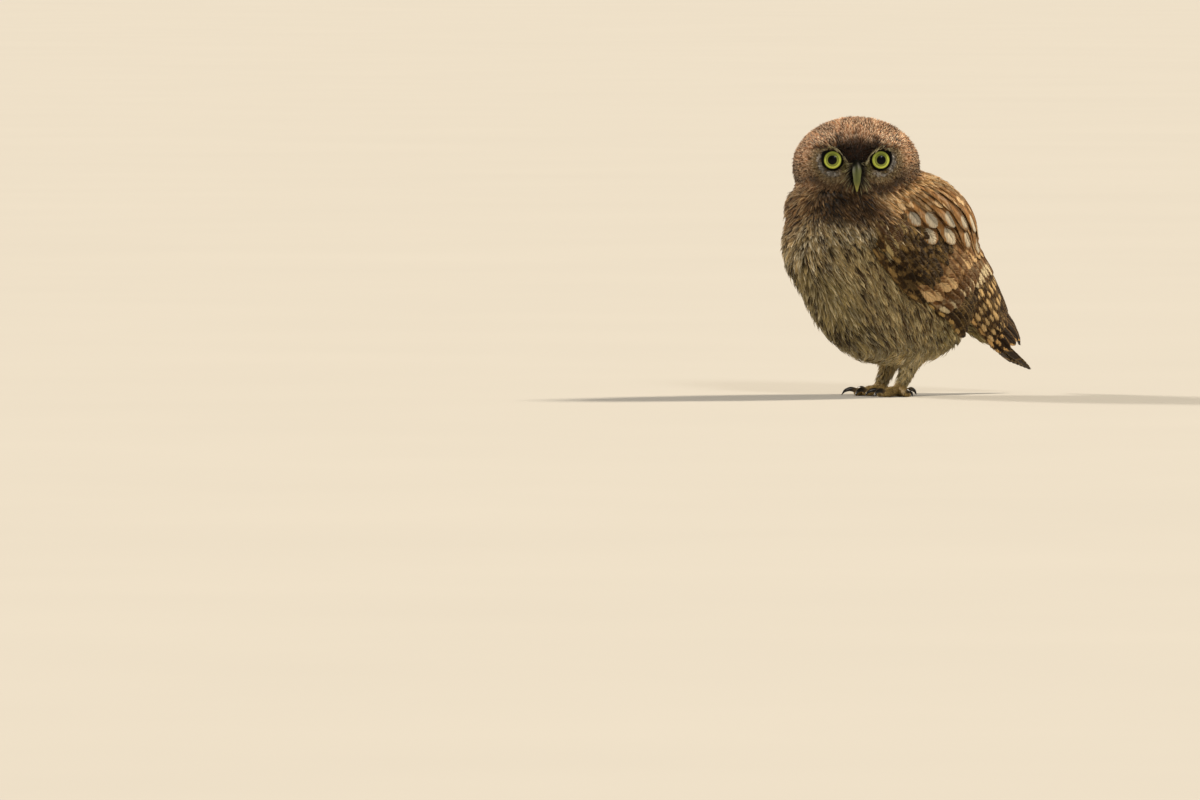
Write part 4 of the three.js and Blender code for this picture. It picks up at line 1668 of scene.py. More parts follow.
    def add_web(self, piece: Piece, at: Laid, web: int, draw: np.random.Generator) -> None:
        """Adds the barbs of one web.

        Args:
            piece: Takes the barbs.
            at: Where the feather lies.
            web: 1 for the outer web and -1 for the inner one.
            draw: The random draws.
        """
        length = at.length
        count = max(int(length * (1 - self.bare) / self.spacing), 6)
        root = mix(self.bare, 0.985, (np.arange(count) + draw.uniform(0, 0.8, count)) / count)
        reach = self.half(root)
        for _ in range(10):
            end = np.minimum(root + self.slant * reach / length, 1)
            reach = mix(reach, self.half(end), 0.5)
        for split in draw.uniform(0.3, 1.0, draw.integers(1, self.splits + 1)):
            gap = root - split
            push = np.sign(gap) * np.exp(-np.abs(gap) * length / 3.0) * draw.uniform(0.3, 0.9)
            end = np.clip(end + push / length, 0, 1)
        reach = reach * (1 + draw.normal(0, self.ragged, count)) + 0.1
        shares = np.array(self.barb_shares)
        u = web * reach[:, None] * shares
        t = root[:, None] + (end - root)[:, None] * shares**1.2
        spine, up = self.lay(at, u, t)
        spine = spine + up * (draw.normal(0, 0.07, count)[:, None] * shares)[..., None]
        across = unit(np.cross(up, unit(np.gradient(spine, axis=1))))
        half = self.barb / 2 * draw.uniform(0.85, 1.2, (count, 1)) * np.array(self.barb_profile)
        points = strand_points(spine, across, up, half, 0.15)
        index = np.append(np.repeat(np.arange(len(shares) - 1), 3), len(shares) - 1)
        labels = self.labels(at, u[:, index], t[:, index], draw.random(count)[:, None], shares[index])
        piece.add(points, *strand_faces(len(shares) - 1), **labels)


@dataclass(frozen=True)
class Tier:
    """A row of wing feathers, from its first feather at the back to its last at the lower edge.

    Roots and tips are places on the wing: millimetres towards the tip, degrees round from the back.
    """

    name: str
    count: int
    roots: tuple[tuple[float, float], tuple[float, float]]
    tips: tuple[tuple[float, float], tuple[float, float]]
    widths: tuple[float, float]
    rise: float
    finish: VaneFinish
    round_tip: float = 0.3
    stray: float = 1.0
    slant: float = 1.4


TIERS = (
    Tier("primaries", 8, ((64, 96), (66, 119)), ((139, 28), (124, 88)), (8.5, 7.5), 1.1,
         VaneFinish("vane_primary", "2e1f0e", "100904", "cda469", 3.6, 0.55, 0.5, 0.24, 0.32, 0.92,
                    "ab824a", 0.5), round_tip=0.2, stray=0.6, slant=2.2),
    Tier("secondaries", 11, ((58, 38), (60, 108)), ((112, 28), (113, 92)), (9.5, 8.5), 1.6,
         VaneFinish("vane_secondary", "3a2712", "140c05", "cfae79", 3.8, 0.52, 0.5, 0.27, 0.31, 0.88,
                    "b48a50", 0.5, blotch=0.2), round_tip=0.22, stray=0.8, slant=2.0),
    Tier("primary_coverts", 8, ((46, 110), (50, 127)), ((84, 100), (92, 123)), (7, 6), 1.8,
         VaneFinish("vane_primary_covert", "3a2811", "1a1005", "b8965a", 3.5, 0.55, 0.55, 0.36, 0.25, 0.75,
                    "8d713c", 0.5, blotch=0.3)),
    Tier("greater_coverts", 14, ((40, 40), (44, 124)), ((88, 42), (67, 121)), (9.5, 8), 1.9,
         VaneFinish("vane_greater_covert", "6c4a27", "33200f", "d0be98", 2.0, 0.56, 0.74, 0.42, 0.23, 0.92,
                    "a98254", 0.45, blotch=0.25), round_tip=0.24),
    Tier("median_coverts", 13, ((28, 42), (26, 125)), ((72, 46), (52, 125)), (9.5, 8), 2.1,
         VaneFinish("vane_median_covert", "85603a", "442c14", "d0ae7e", 1.0, 0.3, 0.88, 0.6, 0.13, 0.85,
                    "a37c4a", 0.5, rarity=0.25, blotch=0.5), stray=1.4),
    Tier("lower_lesser_coverts", 14, ((14, 80), (18, 132)), ((41, 88), (46, 130)), (6.5, 5.5), 2.2,
         VaneFinish("vane_lesser_covert", "35250f", "150c04", "947646", 2.2, 0.42, 0.7, 0.42, 0.2, 0.6,
                    "5e4826", 0.5, rarity=0.3, blotch=0.55), stray=2.2),
    Tier("middle_lesser_coverts", 13, ((5, 84), (6, 131)), ((28, 90), (33, 129)), (6.5, 5.5), 2.3,
         VaneFinish("vane_middle_lesser", "33230e", "150c04", "907244", 2.6, 0.45, 0.7, 0.42, 0.22, 0.6,
                    "5a4624", 0.5, rarity=0.35, blotch=0.6), stray=2.2),
    Tier("higher_lesser_coverts", 12, ((-3, 84), (-2, 128)), ((18, 92), (21, 126)), (6.5, 5.5), 2.3,
         VaneFinish("vane_higher_lesser", "3a2811", "180e05", "9a7c4a", 2.2, 0.4, 0.75, 0.44, 0.2, 0.6,
                    "644d2a", 0.5, rarity=0.35, blotch=0.55), stray=2.2),
    Tier("upper_lesser_coverts", 9, ((-9, 80), (-9, 114)), ((8, 90), (9, 121)), (7, 6), 2.2,
         VaneFinish("vane_upper_lesser", "573b1c", "281809", "c3aa74", 1.0, 0.4, 0.88, 0.5, 0.12, 0.8,
                    "80643a", 0.5, rarity=0.3, blotch=0.35), stray=1.5),
    Tier("lower_scapulars", 4, ((30, 46), (6, 82)), ((67, 58), (28, 94)), (13, 13), 2.4,
         VaneFinish("vane_lower_scapular", "926a3e", "50341a", "bbae96", 1.0, 0.08, 0.85, 0.52, 0.125, 0.95,
                    "a47c4c", 0.45, blotch=0.2), stray=1.0),
    Tier("middle_scapulars", 6, ((16, 36), (-6, 76)), ((64, 46), (14, 92)), (14, 13), 2.5,
         VaneFinish("vane_middle_scapular", "9c7142", "56381c", "c0b49e", 1.0, 0.08, 0.855, 0.56, 0.135, 0.95,
                    "ad8452", 0.45, blotch=0.2), stray=1.2),
    Tier("upper_scapulars", 9, ((6, 32), (-9, 70)), ((48, 38), (3, 86)), (8.5, 8), 1.9,
         VaneFinish("vane_upper_scapular", "946a3e", "4a3018", "e2c294", 1.0, 0.1, 0.9, 0.8, 0.09, 0.85,
                    "b8935f", 0.6, blotch=0.45), stray=1.7),
)


@dataclass(frozen=True)
class Wing:
    """The folded wings: a core that lies on the trunk, and tiers of flat feathers over it."""

    stance: Stance
    shoulder: tuple[float, float, float] = (0.0, -14.0, 112.0)
    pitch: float = 38.5
    start: float = -7.0
    end: float = 116.0
    upper: tuple[float, ...] = (70, 46, 37, 33, 31, 30, 30, 32, 36)
    lower: tuple[float, ...] = (106, 124, 130, 130, 126, 120, 110, 98, 84)
    thickness: float = 1.4
    edge: float = 0.8
    droop_start: float = 66.0
    droop_reach: float = 68.0
    left_droop: float = 1.0
    swelling: float = 3.1

    @property
    def axes(self) -> tuple[Array, Array]:
        """Unit vectors along the wing and out from the middle of the back."""
        turn = math.radians(self.pitch)
        along = np.array([0, math.cos(turn), -math.sin(turn)])
        return along, np.array([0, math.sin(turn), math.cos(turn)])

    def spot(self, side: Side, along: Array, around: Array, lift: Array) -> Array:
        """A place on the wing.

        Args:
            side: Which wing.
            along: Millimetres from the shoulder towards the tip.
            around: Degrees round from the middle of the back.
            lift: Millimetres above the ground of the wing.

        Returns:
            Points in the bird's axes.
        """
        way, back = self.axes
        along, around = np.broadcast_arrays(np.asarray(along, float), np.asarray(around, float))
        centre = np.array(self.shoulder) + along[..., None] * way
        past = np.maximum(along - self.droop_start, 0) / self.droop_reach
        fall = past**2 * (self.left_droop if side is Side.LEFT else 0.0)
        first = self.upper[-1]
        turn = np.radians(first + (around - first) * (1 + fall))
        out = np.cos(turn)[..., None] * back + np.sin(turn)[..., None] * np.array([side.value, 0, 0])
        far = self.stance.wing_ground.cast(centre, out, 70.0)
        return centre + out * (far + lift)[..., None]

    def shares(self, along: Array, around: Array) -> tuple[Array, Array]:
        """Where places of a wing lie in its outline.

        Args:
            along: Millimetres from the shoulder towards the tip.
            around: Degrees round from the middle of the back.

        Returns:
            Shares along the wing and from its upper to its lower edge, 0 to 1 inside the outline.
        """
        t = (along - self.start) / (self.end - self.start)
        high, low = stations(self.upper, t), stations(self.lower, t)
        return t, (around - high) / (low - high)

    def height(self, along: Array, around: Array) -> Array:
        """How far the core stands above the ground of the wing.

        Args:
            along: Millimetres from the shoulder towards the tip.
            around: Degrees round from the middle of the back.

        Returns:
            Heights in millimetres.
        """
        t, v = self.shares(along, around)
        inside = (t >= 0) & (t <= 1) & (v >= 0) & (v <= 1)
        crown = np.sqrt(np.sin(math.pi * np.clip(v, 0, 1)))
        ends = np.sin(math.pi / 2 * np.clip(0.06 + 3 * np.minimum(t, 1 - t), 0, 1))
        return self.edge + np.where(inside, self.thickness * crown * ends, 0)

    def coordinates(self, p: Array) -> tuple[Array, Array]:
        """Where points on the body lie in the outline of a wing.

        Args:
            p: Points on the body.

        Returns:
            The same as from shares.
        """
        way, back = self.axes
        d = p - np.array(self.shoulder)
        along = d @ way
        across = d - along[..., None] * way
        return self.shares(along, np.degrees(np.arctan2(np.abs(across[..., 0]), across @ back)))

    def covers(self, p: Array) -> Array:
        """Tells which points of the trunk lie well under a wing.

        Args:
            p: Points on the body.

        Returns:
            True for each covered point.
        """
        margin = 0.16
        t, v = self.coordinates(p)
        return (t > margin / 2) & (t < 1) & (v > margin) & (v < 1 - margin)

    def swell(self, p: Array) -> Array:
        """How far the feathers of the back and the shoulder stand over the body to cover a wing's edge."""
        t, v = self.coordinates(p)
        return self.swelling * (ramp(-0.34, 0.04, v) * ramp(1.2, 0.95, v) * ramp(-0.2, 0.03, t) * ramp(1.05, 0.8, t))

    def core(self, side: Side, finish: bpy.types.Material) -> bpy.types.Object:
        """Makes the dark core under the feathers.

        Args:
            side: Which wing.
            finish: The core's material.

        Returns:
            The core.
        """
        sheet = Feather(1.0, rows=40, columns=24)
        t = np.linspace(0, 1, sheet.rows)[:, None]
        v = np.linspace(0, 1, sheet.columns)[None, :]
        along = mix(self.start, self.end, t) + 0 * v
        around = mix(stations(self.upper, t), stations(self.lower, t), v)
        height = self.height(along, around) - 0.35
        sheets = [self.spot(side, along, around, h).reshape(-1, 3) for h in (height, -height)]
        points = np.concatenate(sheets)[None]
        piece = Piece(f"wing_core_{side.word}")
        piece.add(points, sheet.faces(side), None, tint=np.broadcast_to(linear("33251a"), points.shape))
        return piece.build(self.stance, finish)

    def tier(self, side: Side, tier: Tier, draw: np.random.Generator) -> bpy.types.Object:
        """Makes one row of feathers.

        Args:
            side: Which wing.
            tier: The row.
            draw: The random draws.

        Returns:
            The row as one piece.
        """
        share = np.linspace(0, 1, tier.count)[:, None]
        root = mix(np.array(tier.roots[0]), np.array(tier.roots[1]), share)
        tip = mix(np.array(tier.tips[0]), np.array(tier.tips[1]), share)
        root = root + draw.normal(0, 0.7, root.shape) * tier.stray
        tip = tip + draw.normal(0, 1.0, tip.shape) * tier.stray
        widths = mix(tier.widths[0], tier.widths[1], share[:, 0]) * draw.uniform(0.94, 1.08, tier.count)
        piece = Piece(f"{tier.name}_{side.word}")
        t = np.linspace(0, 1, 20)[:, None]
        for k in range(tier.count):
            feather = Feather(widths[k], round_tip=tier.round_tip, slant=tier.slant, camber=0.05 * widths[k])
            along, around = mix(root[k], tip[k], t).T
            lift = self.height(along, around) - 1.0 + (1.0 + tier.rise) * t[:, 0] ** 0.6
            path = self.spot(side, along, around, lift)
            out = unit(self.spot(side, along, around, lift + 1) - path)
            feather.grow(piece, path, out, side, draw, (k / tier.count, (k + 1) / tier.count))
        return piece.build(self.stance, bpy.data.materials.get(tier.finish.name) or tier.finish.build())

    def build(self, core_finish: bpy.types.Material) -> list[bpy.types.Object]:
        """Makes both wings.

        Args:
            core_finish: The material of the cores.

        Returns:
            The pieces of both wings.
        """
        pieces = []
        for side in Side:
            draw = np.random.default_rng(SEEDS["wings"] + side.value)
            made = [self.core(side, core_finish)]
            made += [self.tier(side, tier, draw) for tier in TIERS]
            for piece in made:
                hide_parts("wing_" + side.word)
            pieces += made
            LOG.info("wing %s: %d pieces", side.word, len(made))
        return pieces


@dataclass
class Tail:
    """The short tail: pairs of flat feathers that fan a little."""

    stance: Stance
    root: tuple[float, float, float] = (0.0, 50.0, 54.0)
    tip: tuple[float, float, float] = (0.0, 106.5, 12.8)
    pairs: int = 6
    width: float = 9.2
    step_down: float = 0.45
    step_out: float = 1.15
    shorter: float = 2.1
    finish: VaneFinish = VaneFinish("vane_tail", "3a2b15", "1e1408", "9c7e4e", 5.0, 0.0, 0.5, 1.2, 0.1,
                                    0.45, "b59c66", 0.6)

    def build(self) -> list[bpy.types.Object]:
        """Makes the tail.

        Returns:
            The tail's pieces.
        """
        root, tip = np.array(self.root), np.array(self.tip)
        reach = tip - root
        up = unit(np.array([0, -reach[2], reach[1]]))
        draw = np.random.default_rng(SEEDS["tail"])
        piece = Piece("tail_feathers")
        feather = Feather(self.width, tilt=0.9, round_tip=0.26, bare=0.35, slant=2.2)
        t = np.linspace(0, 1, 20)
        strip = 0.5 / self.pairs
        for pair in reversed(range(self.pairs)):
            for side in Side:
                end = 1 - pair * self.shorter / np.linalg.norm(reach)
                path = root + reach * mix(0.2, end, t)[:, None]
                path[:, 0] += (pair + 0.5) * side.value * self.step_out * mix(0.55, 1.0, t)
                path = path + up * (mix(2.0, 1.0, t) - pair * self.step_down * t)[:, None]
                cell = (2 * pair + (side is Side.RIGHT)) * strip
                feather.grow(piece, path, np.broadcast_to(up, path.shape), side, draw, (cell, cell + strip))
        made = piece.build(self.stance, self.finish.build())
        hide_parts("tail")
        LOG.info("tail: %d feathers", 2 * self.pairs)
        return [made]


# Bare parts


@dataclass
class Eyes:
    """The two eyes, each in a ring of dark lids."""

    stance: Stance
    spacing: float = 27.6
    depth: float = 19.0
    height: float = 4.4
    divergence: float = 6.0
    bulge: float = 0.5
    lid_ring: float = 5.85
    lid_width: float = 0.68
    lid_height: float = 0.9
    finish: EyeFinish = EyeFinish()
    lid_finish: SkinFinish = SkinFinish("lid_skin", "070504", "030202", 1600.0, 0.75, 0.0001, 0.08)

    def axes(self, side: Side) -> tuple[Array, Array, Array, Array]:
        """Where an eye is and where it looks, in the head's axes.

        Args:
            side: Which eye.

        Returns:
            Its middle, and unit vectors across, up and outward.
        """
        turn = math.radians(self.divergence)
        centre = np.array([side.value * self.spacing / 2, -self.depth, self.height])
        out = np.array([side.value * math.sin(turn), -math.cos(turn), 0])
        up = np.array([0.0, 0.0, 1.0])
        return centre, np.cross(up, out) * -1, up, out

    def ball(self, side: Side, finish: bpy.types.Material) -> bpy.types.Object:
        """Makes an eyeball with a bulge over the iris.

        Args:
            side: Which eye.
            finish: The eye's material.

        Returns:
            The eyeball.
        """
        centre, across, up, out = self.axes(side)
        rings, around = 64, 96
        polar = math.pi * ((np.arange(rings) + 0.5) / rings) ** 1.5
        turn = np.linspace(0, 2 * math.pi, around, endpoint=False)
        radius = self.stance.eye_radius - 0.15 + self.bulge * np.exp(-((polar / 0.75) ** 4))
        x = np.sin(polar)[:, None] * np.cos(turn) * radius[:, None]
        y = np.sin(polar)[:, None] * np.sin(turn) * radius[:, None]
        z = np.broadcast_to((np.cos(polar) * radius)[:, None], x.shape)
        flat = np.stack([x, y, z], -1).reshape(-1, 3)
        flat = np.concatenate([flat, [[0, 0, radius[0]], [0, 0, -radius[-1]]]])
        points = self.stance.head.world(centre + flat @ np.stack([across, up, out]))
        piece = Piece(f"eyeball_{side.word}")
        quads, triangles = ring_faces(rings, around)
        piece.add(points[None], quads[:, ::-1], triangles[:, ::-1], vane=flat[None])
        return piece.build(self.stance, finish)

    def lids(self, side: Side, finish: bpy.types.Material) -> bpy.types.Object:
        """Makes the ring of lids, drawn out to a corner at the upper outer side.

        Args:
            side: Which eye.
            finish: The lids' material.

        Returns:
            The lids.
        """
        centre, across, up, out = self.axes(side)
        rings, around = 96, 14
        turn = np.linspace(0, 2 * math.pi, rings, endpoint=False)
        outer = math.radians(145 if side is Side.LEFT else 35)
        corner = np.exp(-((np.angle(np.exp(1j * (turn - outer))) / 0.32) ** 2))
        ring = self.lid_ring + 0.5 * corner
        forward = math.sqrt(self.stance.eye_radius**2 - self.lid_ring**2) + 0.25
        way = np.cos(turn)[:, None] * across + np.sin(turn)[:, None] * up
        middle = centre + way * ring[:, None] + out * forward
        section = np.linspace(0, 2 * math.pi, around, endpoint=False)
        thick = 0.74 + 0.7 * np.clip(np.cos(turn - outer), 0, 1)
        wide = self.lid_width * (thick + 0.5 * corner)
        x = np.cos(section)[None, :, None] * wide[:, None, None] * way[:, None]
        y = np.sin(section)[None, :, None] * self.lid_height * out
        points = self.stance.head.world((middle[:, None] + x + y).reshape(-1, 3))
        i, j = np.meshgrid(np.arange(rings), np.arange(around), indexing="ij")
        a, b = i * around + j, i * around + (j + 1) % around
        c, d = (i + 1) % rings * around + j, (i + 1) % rings * around + (j + 1) % around
        quads = np.stack([a, c, d, b], -1).reshape(-1, 4)
        piece = Piece(f"lids_{side.word}")
        piece.add(points[None], quads, None)
        return piece.build(self.stance, finish)

    def build(self) -> list[bpy.types.Object]:
        """Makes eyes and lids.

        Returns:
            The pieces.
        """
        eye, skin = self.finish.build(), self.lid_finish.build()
        pieces = []
        for side in Side:
            ball, lids = self.ball(side, eye), self.lids(side, skin)
            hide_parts("eye_" + side.word)
            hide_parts("head")
            pieces += [ball, lids]
        LOG.info("eyes: %d pieces", len(pieces))
        return pieces


@dataclass
class Brows:
    """The thin pale brows, which meet in a V over the bill."""

    stance: Stance
    line: tuple = ((5.0, 1.4, 0), (7.2, 4.8, 0), (9.6, 8.2, 0), (12.8, 11.4, 0), (17.0, 14.0, 0), (21.5, 15.2, 0))
    tufts: int = 60
    thickness: float = 0.34
    cover_tufts: int = 900

    def cover(self, piece: Piece, plumage: Plumage) -> None:
        """Lays crown feathers over the ledge at the outer ends of the brows.

        Args:
            piece: Takes the strands.
            plumage: Gives their colours.
        """
        draw = np.random.default_rng(SEEDS["ledge"])
        head, count = self.stance.head, self.cover_tufts
        shares = np.array(STRAND_STEPS[3])
        sign = np.where(np.arange(count) % 2, 1.0, -1.0)
        x, z = draw.uniform(11.5, 26.0, count), draw.uniform(11.0, 18.0, count)
        way = unit(np.stack([0.35 + x / 30 + draw.normal(0, 0.2, count), 1.0 + 0 * x], -1))
        run = shares * draw.uniform(3.4, 5.2, count)[:, None]
        local = np.stack([sign[:, None] * (x[:, None] + way[:, :1] * run), np.full(run.shape, -4.0),
                          z[:, None] + way[:, 1:] * run], -1)
        ahead = np.broadcast_to(-head.axes[1], local.shape)
        inside = head.world(local)
        over = mix(-1.5, 0.0, ramp(0.0, 0.7, shares)) + draw.normal(0, 0.15, (count, 1))
        spine = inside + ahead * (head.cast(inside, ahead, 32.0) + over)[..., None]
        half = np.array([0.22, 0.26, 0.18]) * draw.uniform(0.7, 1.2, (count, 1))
        along = strand_along(3)
        seen = np.repeat(spine[:, 2:3], len(along), 1)
        even = 0 * seen[..., 0]
        tint = plumage.tint(seen, 0.3 + even, along + even, draw.random((count, 1)) + even,
                            draw.random((count, 1)) + even)
        spots = np.stack([0.5 + sign * x / 80, 0.2 + z / 80], -1)
        add_strands(piece, spine, ahead, half, self.thickness, tint, spots)

    def build(self, coat_finish: bpy.types.Material, plumage: Plumage) -> bpy.types.Object:
        """Makes the tufts of both brows.

        Args:
            coat_finish: The material of the tufts.
            plumage: Gives the colours of the feathers beside them.

        Returns:
            The brows.
        """
        draw = np.random.default_rng(SEEDS["brows"])
        head, count = self.stance.head, self.tufts
        way = smooth_line(self.line, 60)
        shares = np.array(STRAND_STEPS[3])
        start = draw.uniform(-0.04, 0.62, count)
        at = np.clip(start[:, None] + shares * draw.uniform(0.1, 0.2, count)[:, None], 0, 1) * 59
        x, z = (np.interp(at, np.arange(60), way[:, k]) for k in range(2))
        off = draw.normal(0, 0.4, count)[:, None] + draw.normal(0.0, 0.25, count)[:, None] * shares
        sign = np.where(np.arange(count) % 2, 1.0, -1.0)[:, None]
        local = np.stack([sign * (x + 0.5 * off), np.full_like(x, -8.0), z - off], -1)
        ahead = np.broadcast_to(-head.axes[1], local.shape)
        inside = head.world(local)
        over = mix(-0.8, 0.3, ramp(0.0, 0.7, shares)) - 0.6 * start[:, None]
        spine = inside + ahead * (head.cast(inside, ahead, 26.0) + over)[..., None]
        half = np.array([0.15, 0.2, 0.12]) * draw.uniform(0.7, 1.2, (count, 1))
        own = draw.random(count)[:, None, None]
        light = ramp(0.0, 0.6, strand_along(3))[:, None]
        tint = mix(linear("5e5030"), mix(linear("94865a"), linear("e6dab0"), own), light)
        spots = np.stack([0.5 + sign[:, 0] * start / 3, 0.5 + off[:, 0] / 20], -1)
        piece = Piece("coat_brows")
        add_strands(piece, spine, ahead, half, self.thickness, tint, spots)
        self.cover(piece, plumage)
        brows = piece.build(self.stance, coat_finish)
        LOG.info("brows: %d tufts", count)
        return brows


@dataclass
class Bill:
    """The hooked bill: upper and lower horn and the swollen cere with its nostrils."""

    stance: Stance
    upper: tuple = ((0, -22, 2.5), (0, -30, 0.6), (0, -34.4, -3.4), (0, -35, -8.6), (0, -32.6, -14.4))
    upper_radii: tuple = (2.7, 2.75, 2.8, 1.95, 0.3)
    lower: tuple = ((0, -24, -6.4), (0, -29.5, -7.9), (0, -31.8, -10.6), (0, -31.7, -12.9))
    lower_radii: tuple = (2.8, 2.6, 1.9, 0.5)
    cere_at: tuple = (0.0, -30.2, -1.4)
    cere_radius: float = 3.25
    nostril: tuple = (2.4, -32.4, -0.6)
    bristles: int = 90
    finish: HornFinish = HornFinish("bill_horn", "15140c", "5a6034", "aaa658", (0.36, 0.68), 0.58, 0.2, 0.0)
    cere_finish: HornFinish = HornFinish("cere_skin", "17150d", "17150d", "17150d", (0.15, 0.4), 0.85, 0.06, 0.0)

    def horn(self, name: str, line: tuple, radii: tuple, ridge: float, finish: bpy.types.Material) -> bpy.types.Object:
        """Makes one half of the bill.

        Args:
            name: The piece's name.
            line: Points along its middle, in the head's axes.
            radii: Half-widths along it.
            ridge: How much its back is drawn out into a ridge.
            finish: The material.

        Returns:
            The horn.
        """
        rings, around = 48, 36
        spine = smooth_line(line, rings)
        radius = stations(radii, np.linspace(0, 1, rings))
        across = np.broadcast_to(np.array([1.0, 0, 0]), spine.shape)
        up = unit(np.cross(unit(np.gradient(spine, axis=0)), across))
        points = self.stance.head.world(tube_points(spine, across, up, radius, around, ridge))
        piece = Piece(name)
        piece.add(points[None], *ring_faces(rings, around), vane=tube_vane(rings, around))
        return piece.build(self.stance, finish)

    def cere(self, finish: bpy.types.Material) -> bpy.types.Object:
        """Makes the cere, with a pit on each side for a nostril.

        Args:
            finish: The material.

        Returns:
            The cere.
        """
        rings, around = 40, 56
        ways = np.concatenate([globe(rings, around), [[0, 0, 1], [0, 0, -1]]])
        points = np.array(self.cere_at) + ways * self.cere_radius * np.array([1.0, 1.0, 0.9])
        for sign in (-1, 1):
            far = np.linalg.norm(points - np.array([sign * self.nostril[0], *self.nostril[1:]]), axis=1)
            pit, rim = np.exp(-((far / 0.75) ** 2)), np.exp(-(((far - 1.2) / 0.4) ** 2))
            points = points - ways * (1.4 * pit - 0.25 * rim)[:, None]
        piece = Piece("cere")
        quads, triangles = ring_faces(rings, around)
        data = np.broadcast_to([0, 0.3, 0], points.shape)
        piece.add(self.stance.head.world(points)[None], quads[:, ::-1], triangles[:, ::-1], vane=data[None])
        return piece.build(self.stance, finish)

    def bristle_ring(self, finish: bpy.types.Material) -> bpy.types.Object:
        """Makes the bristles that grow round the base of the bill and lie over it and the face.

        Args:
            finish: The material.

        Returns:
            The bristles.
        """
        draw = np.random.default_rng(SEEDS["bristles"])
        head = self.stance.head
        turn = np.concatenate([draw.uniform(-1.25, 1.25, self.bristles), draw.uniform(1.2, 1.95, self.bristles // 3)])
        count = len(turn)
        sign = np.where(np.arange(count) % 2, 1.0, -1.0)
        x, z = np.cos(turn) * sign, np.sin(turn)
        root = np.stack([x * draw.uniform(3.6, 5.4, count), 0 * x - 28.5, -3.0 + z * 6.6], -1)
        local = head.local(head.settle(head.world(root), np.full(count, -0.8)))
        out = np.stack([x, 0 * x, z], -1)
        way = unit(out * 0.75 + np.array([0, -0.42, -0.35]) + draw.normal(0, 0.12, out.shape))
        above = ramp(0.75, 1.0, z)[:, None]
        way = unit(mix(way, np.array([0, -0.55, -0.85]) + 0.4 * out, above))
        length = draw.uniform(4.0, 8.5, count) * mix(1.0, 0.55, above[:, 0])
        shares = np.array(STRAND_STEPS[3])[None, :, None]
        bend = np.array([0, 0.25, -0.35]) * shares**2
        spine = head.world(local[:, None] + (way[:, None] * shares + bend) * length[:, None, None])
        front = np.broadcast_to(head.axes[1] * -1, spine.shape)
        half = np.broadcast_to(np.array([0.17, 0.14, 0.09]), (count, 3))
        pale = (draw.random(count) < 0.45)[:, None, None]
        tip = np.where(pale, linear("cfc391"), linear("4b3d22"))
        tint = mix(linear("2a2012"), tip, ramp(0.15, 0.8, strand_along(3))[:, None])
        piece = Piece("bill_bristles")
        add_strands(piece, spine, front, half, 0.5, tint, np.stack([turn / 4 + 0.5, 0.5 + 0.4 * x], -1))
        return piece.build(self.stance, finish)

    def build(self, coat_finish: bpy.types.Material) -> list[bpy.types.Object]:
        """Makes the bill and its bristles.

        Args:
            coat_finish: The material of the bristles.

        Returns:
            The pieces.
        """
        horn, skin = self.finish.build(), self.cere_finish.build()
        upper = self.horn("upper_bill", self.upper, self.upper_radii, 0.16, horn)
        lower = self.horn("lower_bill", self.lower, self.lower_radii, 0.0, horn)
        cere = self.cere(skin)
        for piece, node in ((upper, "bill_upper"), (lower, "bill_lower"), (cere, "bill_upper")):
            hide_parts(node)
        bristles = self.bristle_ring(coat_finish)
        LOG.info("bill: 4 pieces")
        return [upper, lower, cere, bristles]


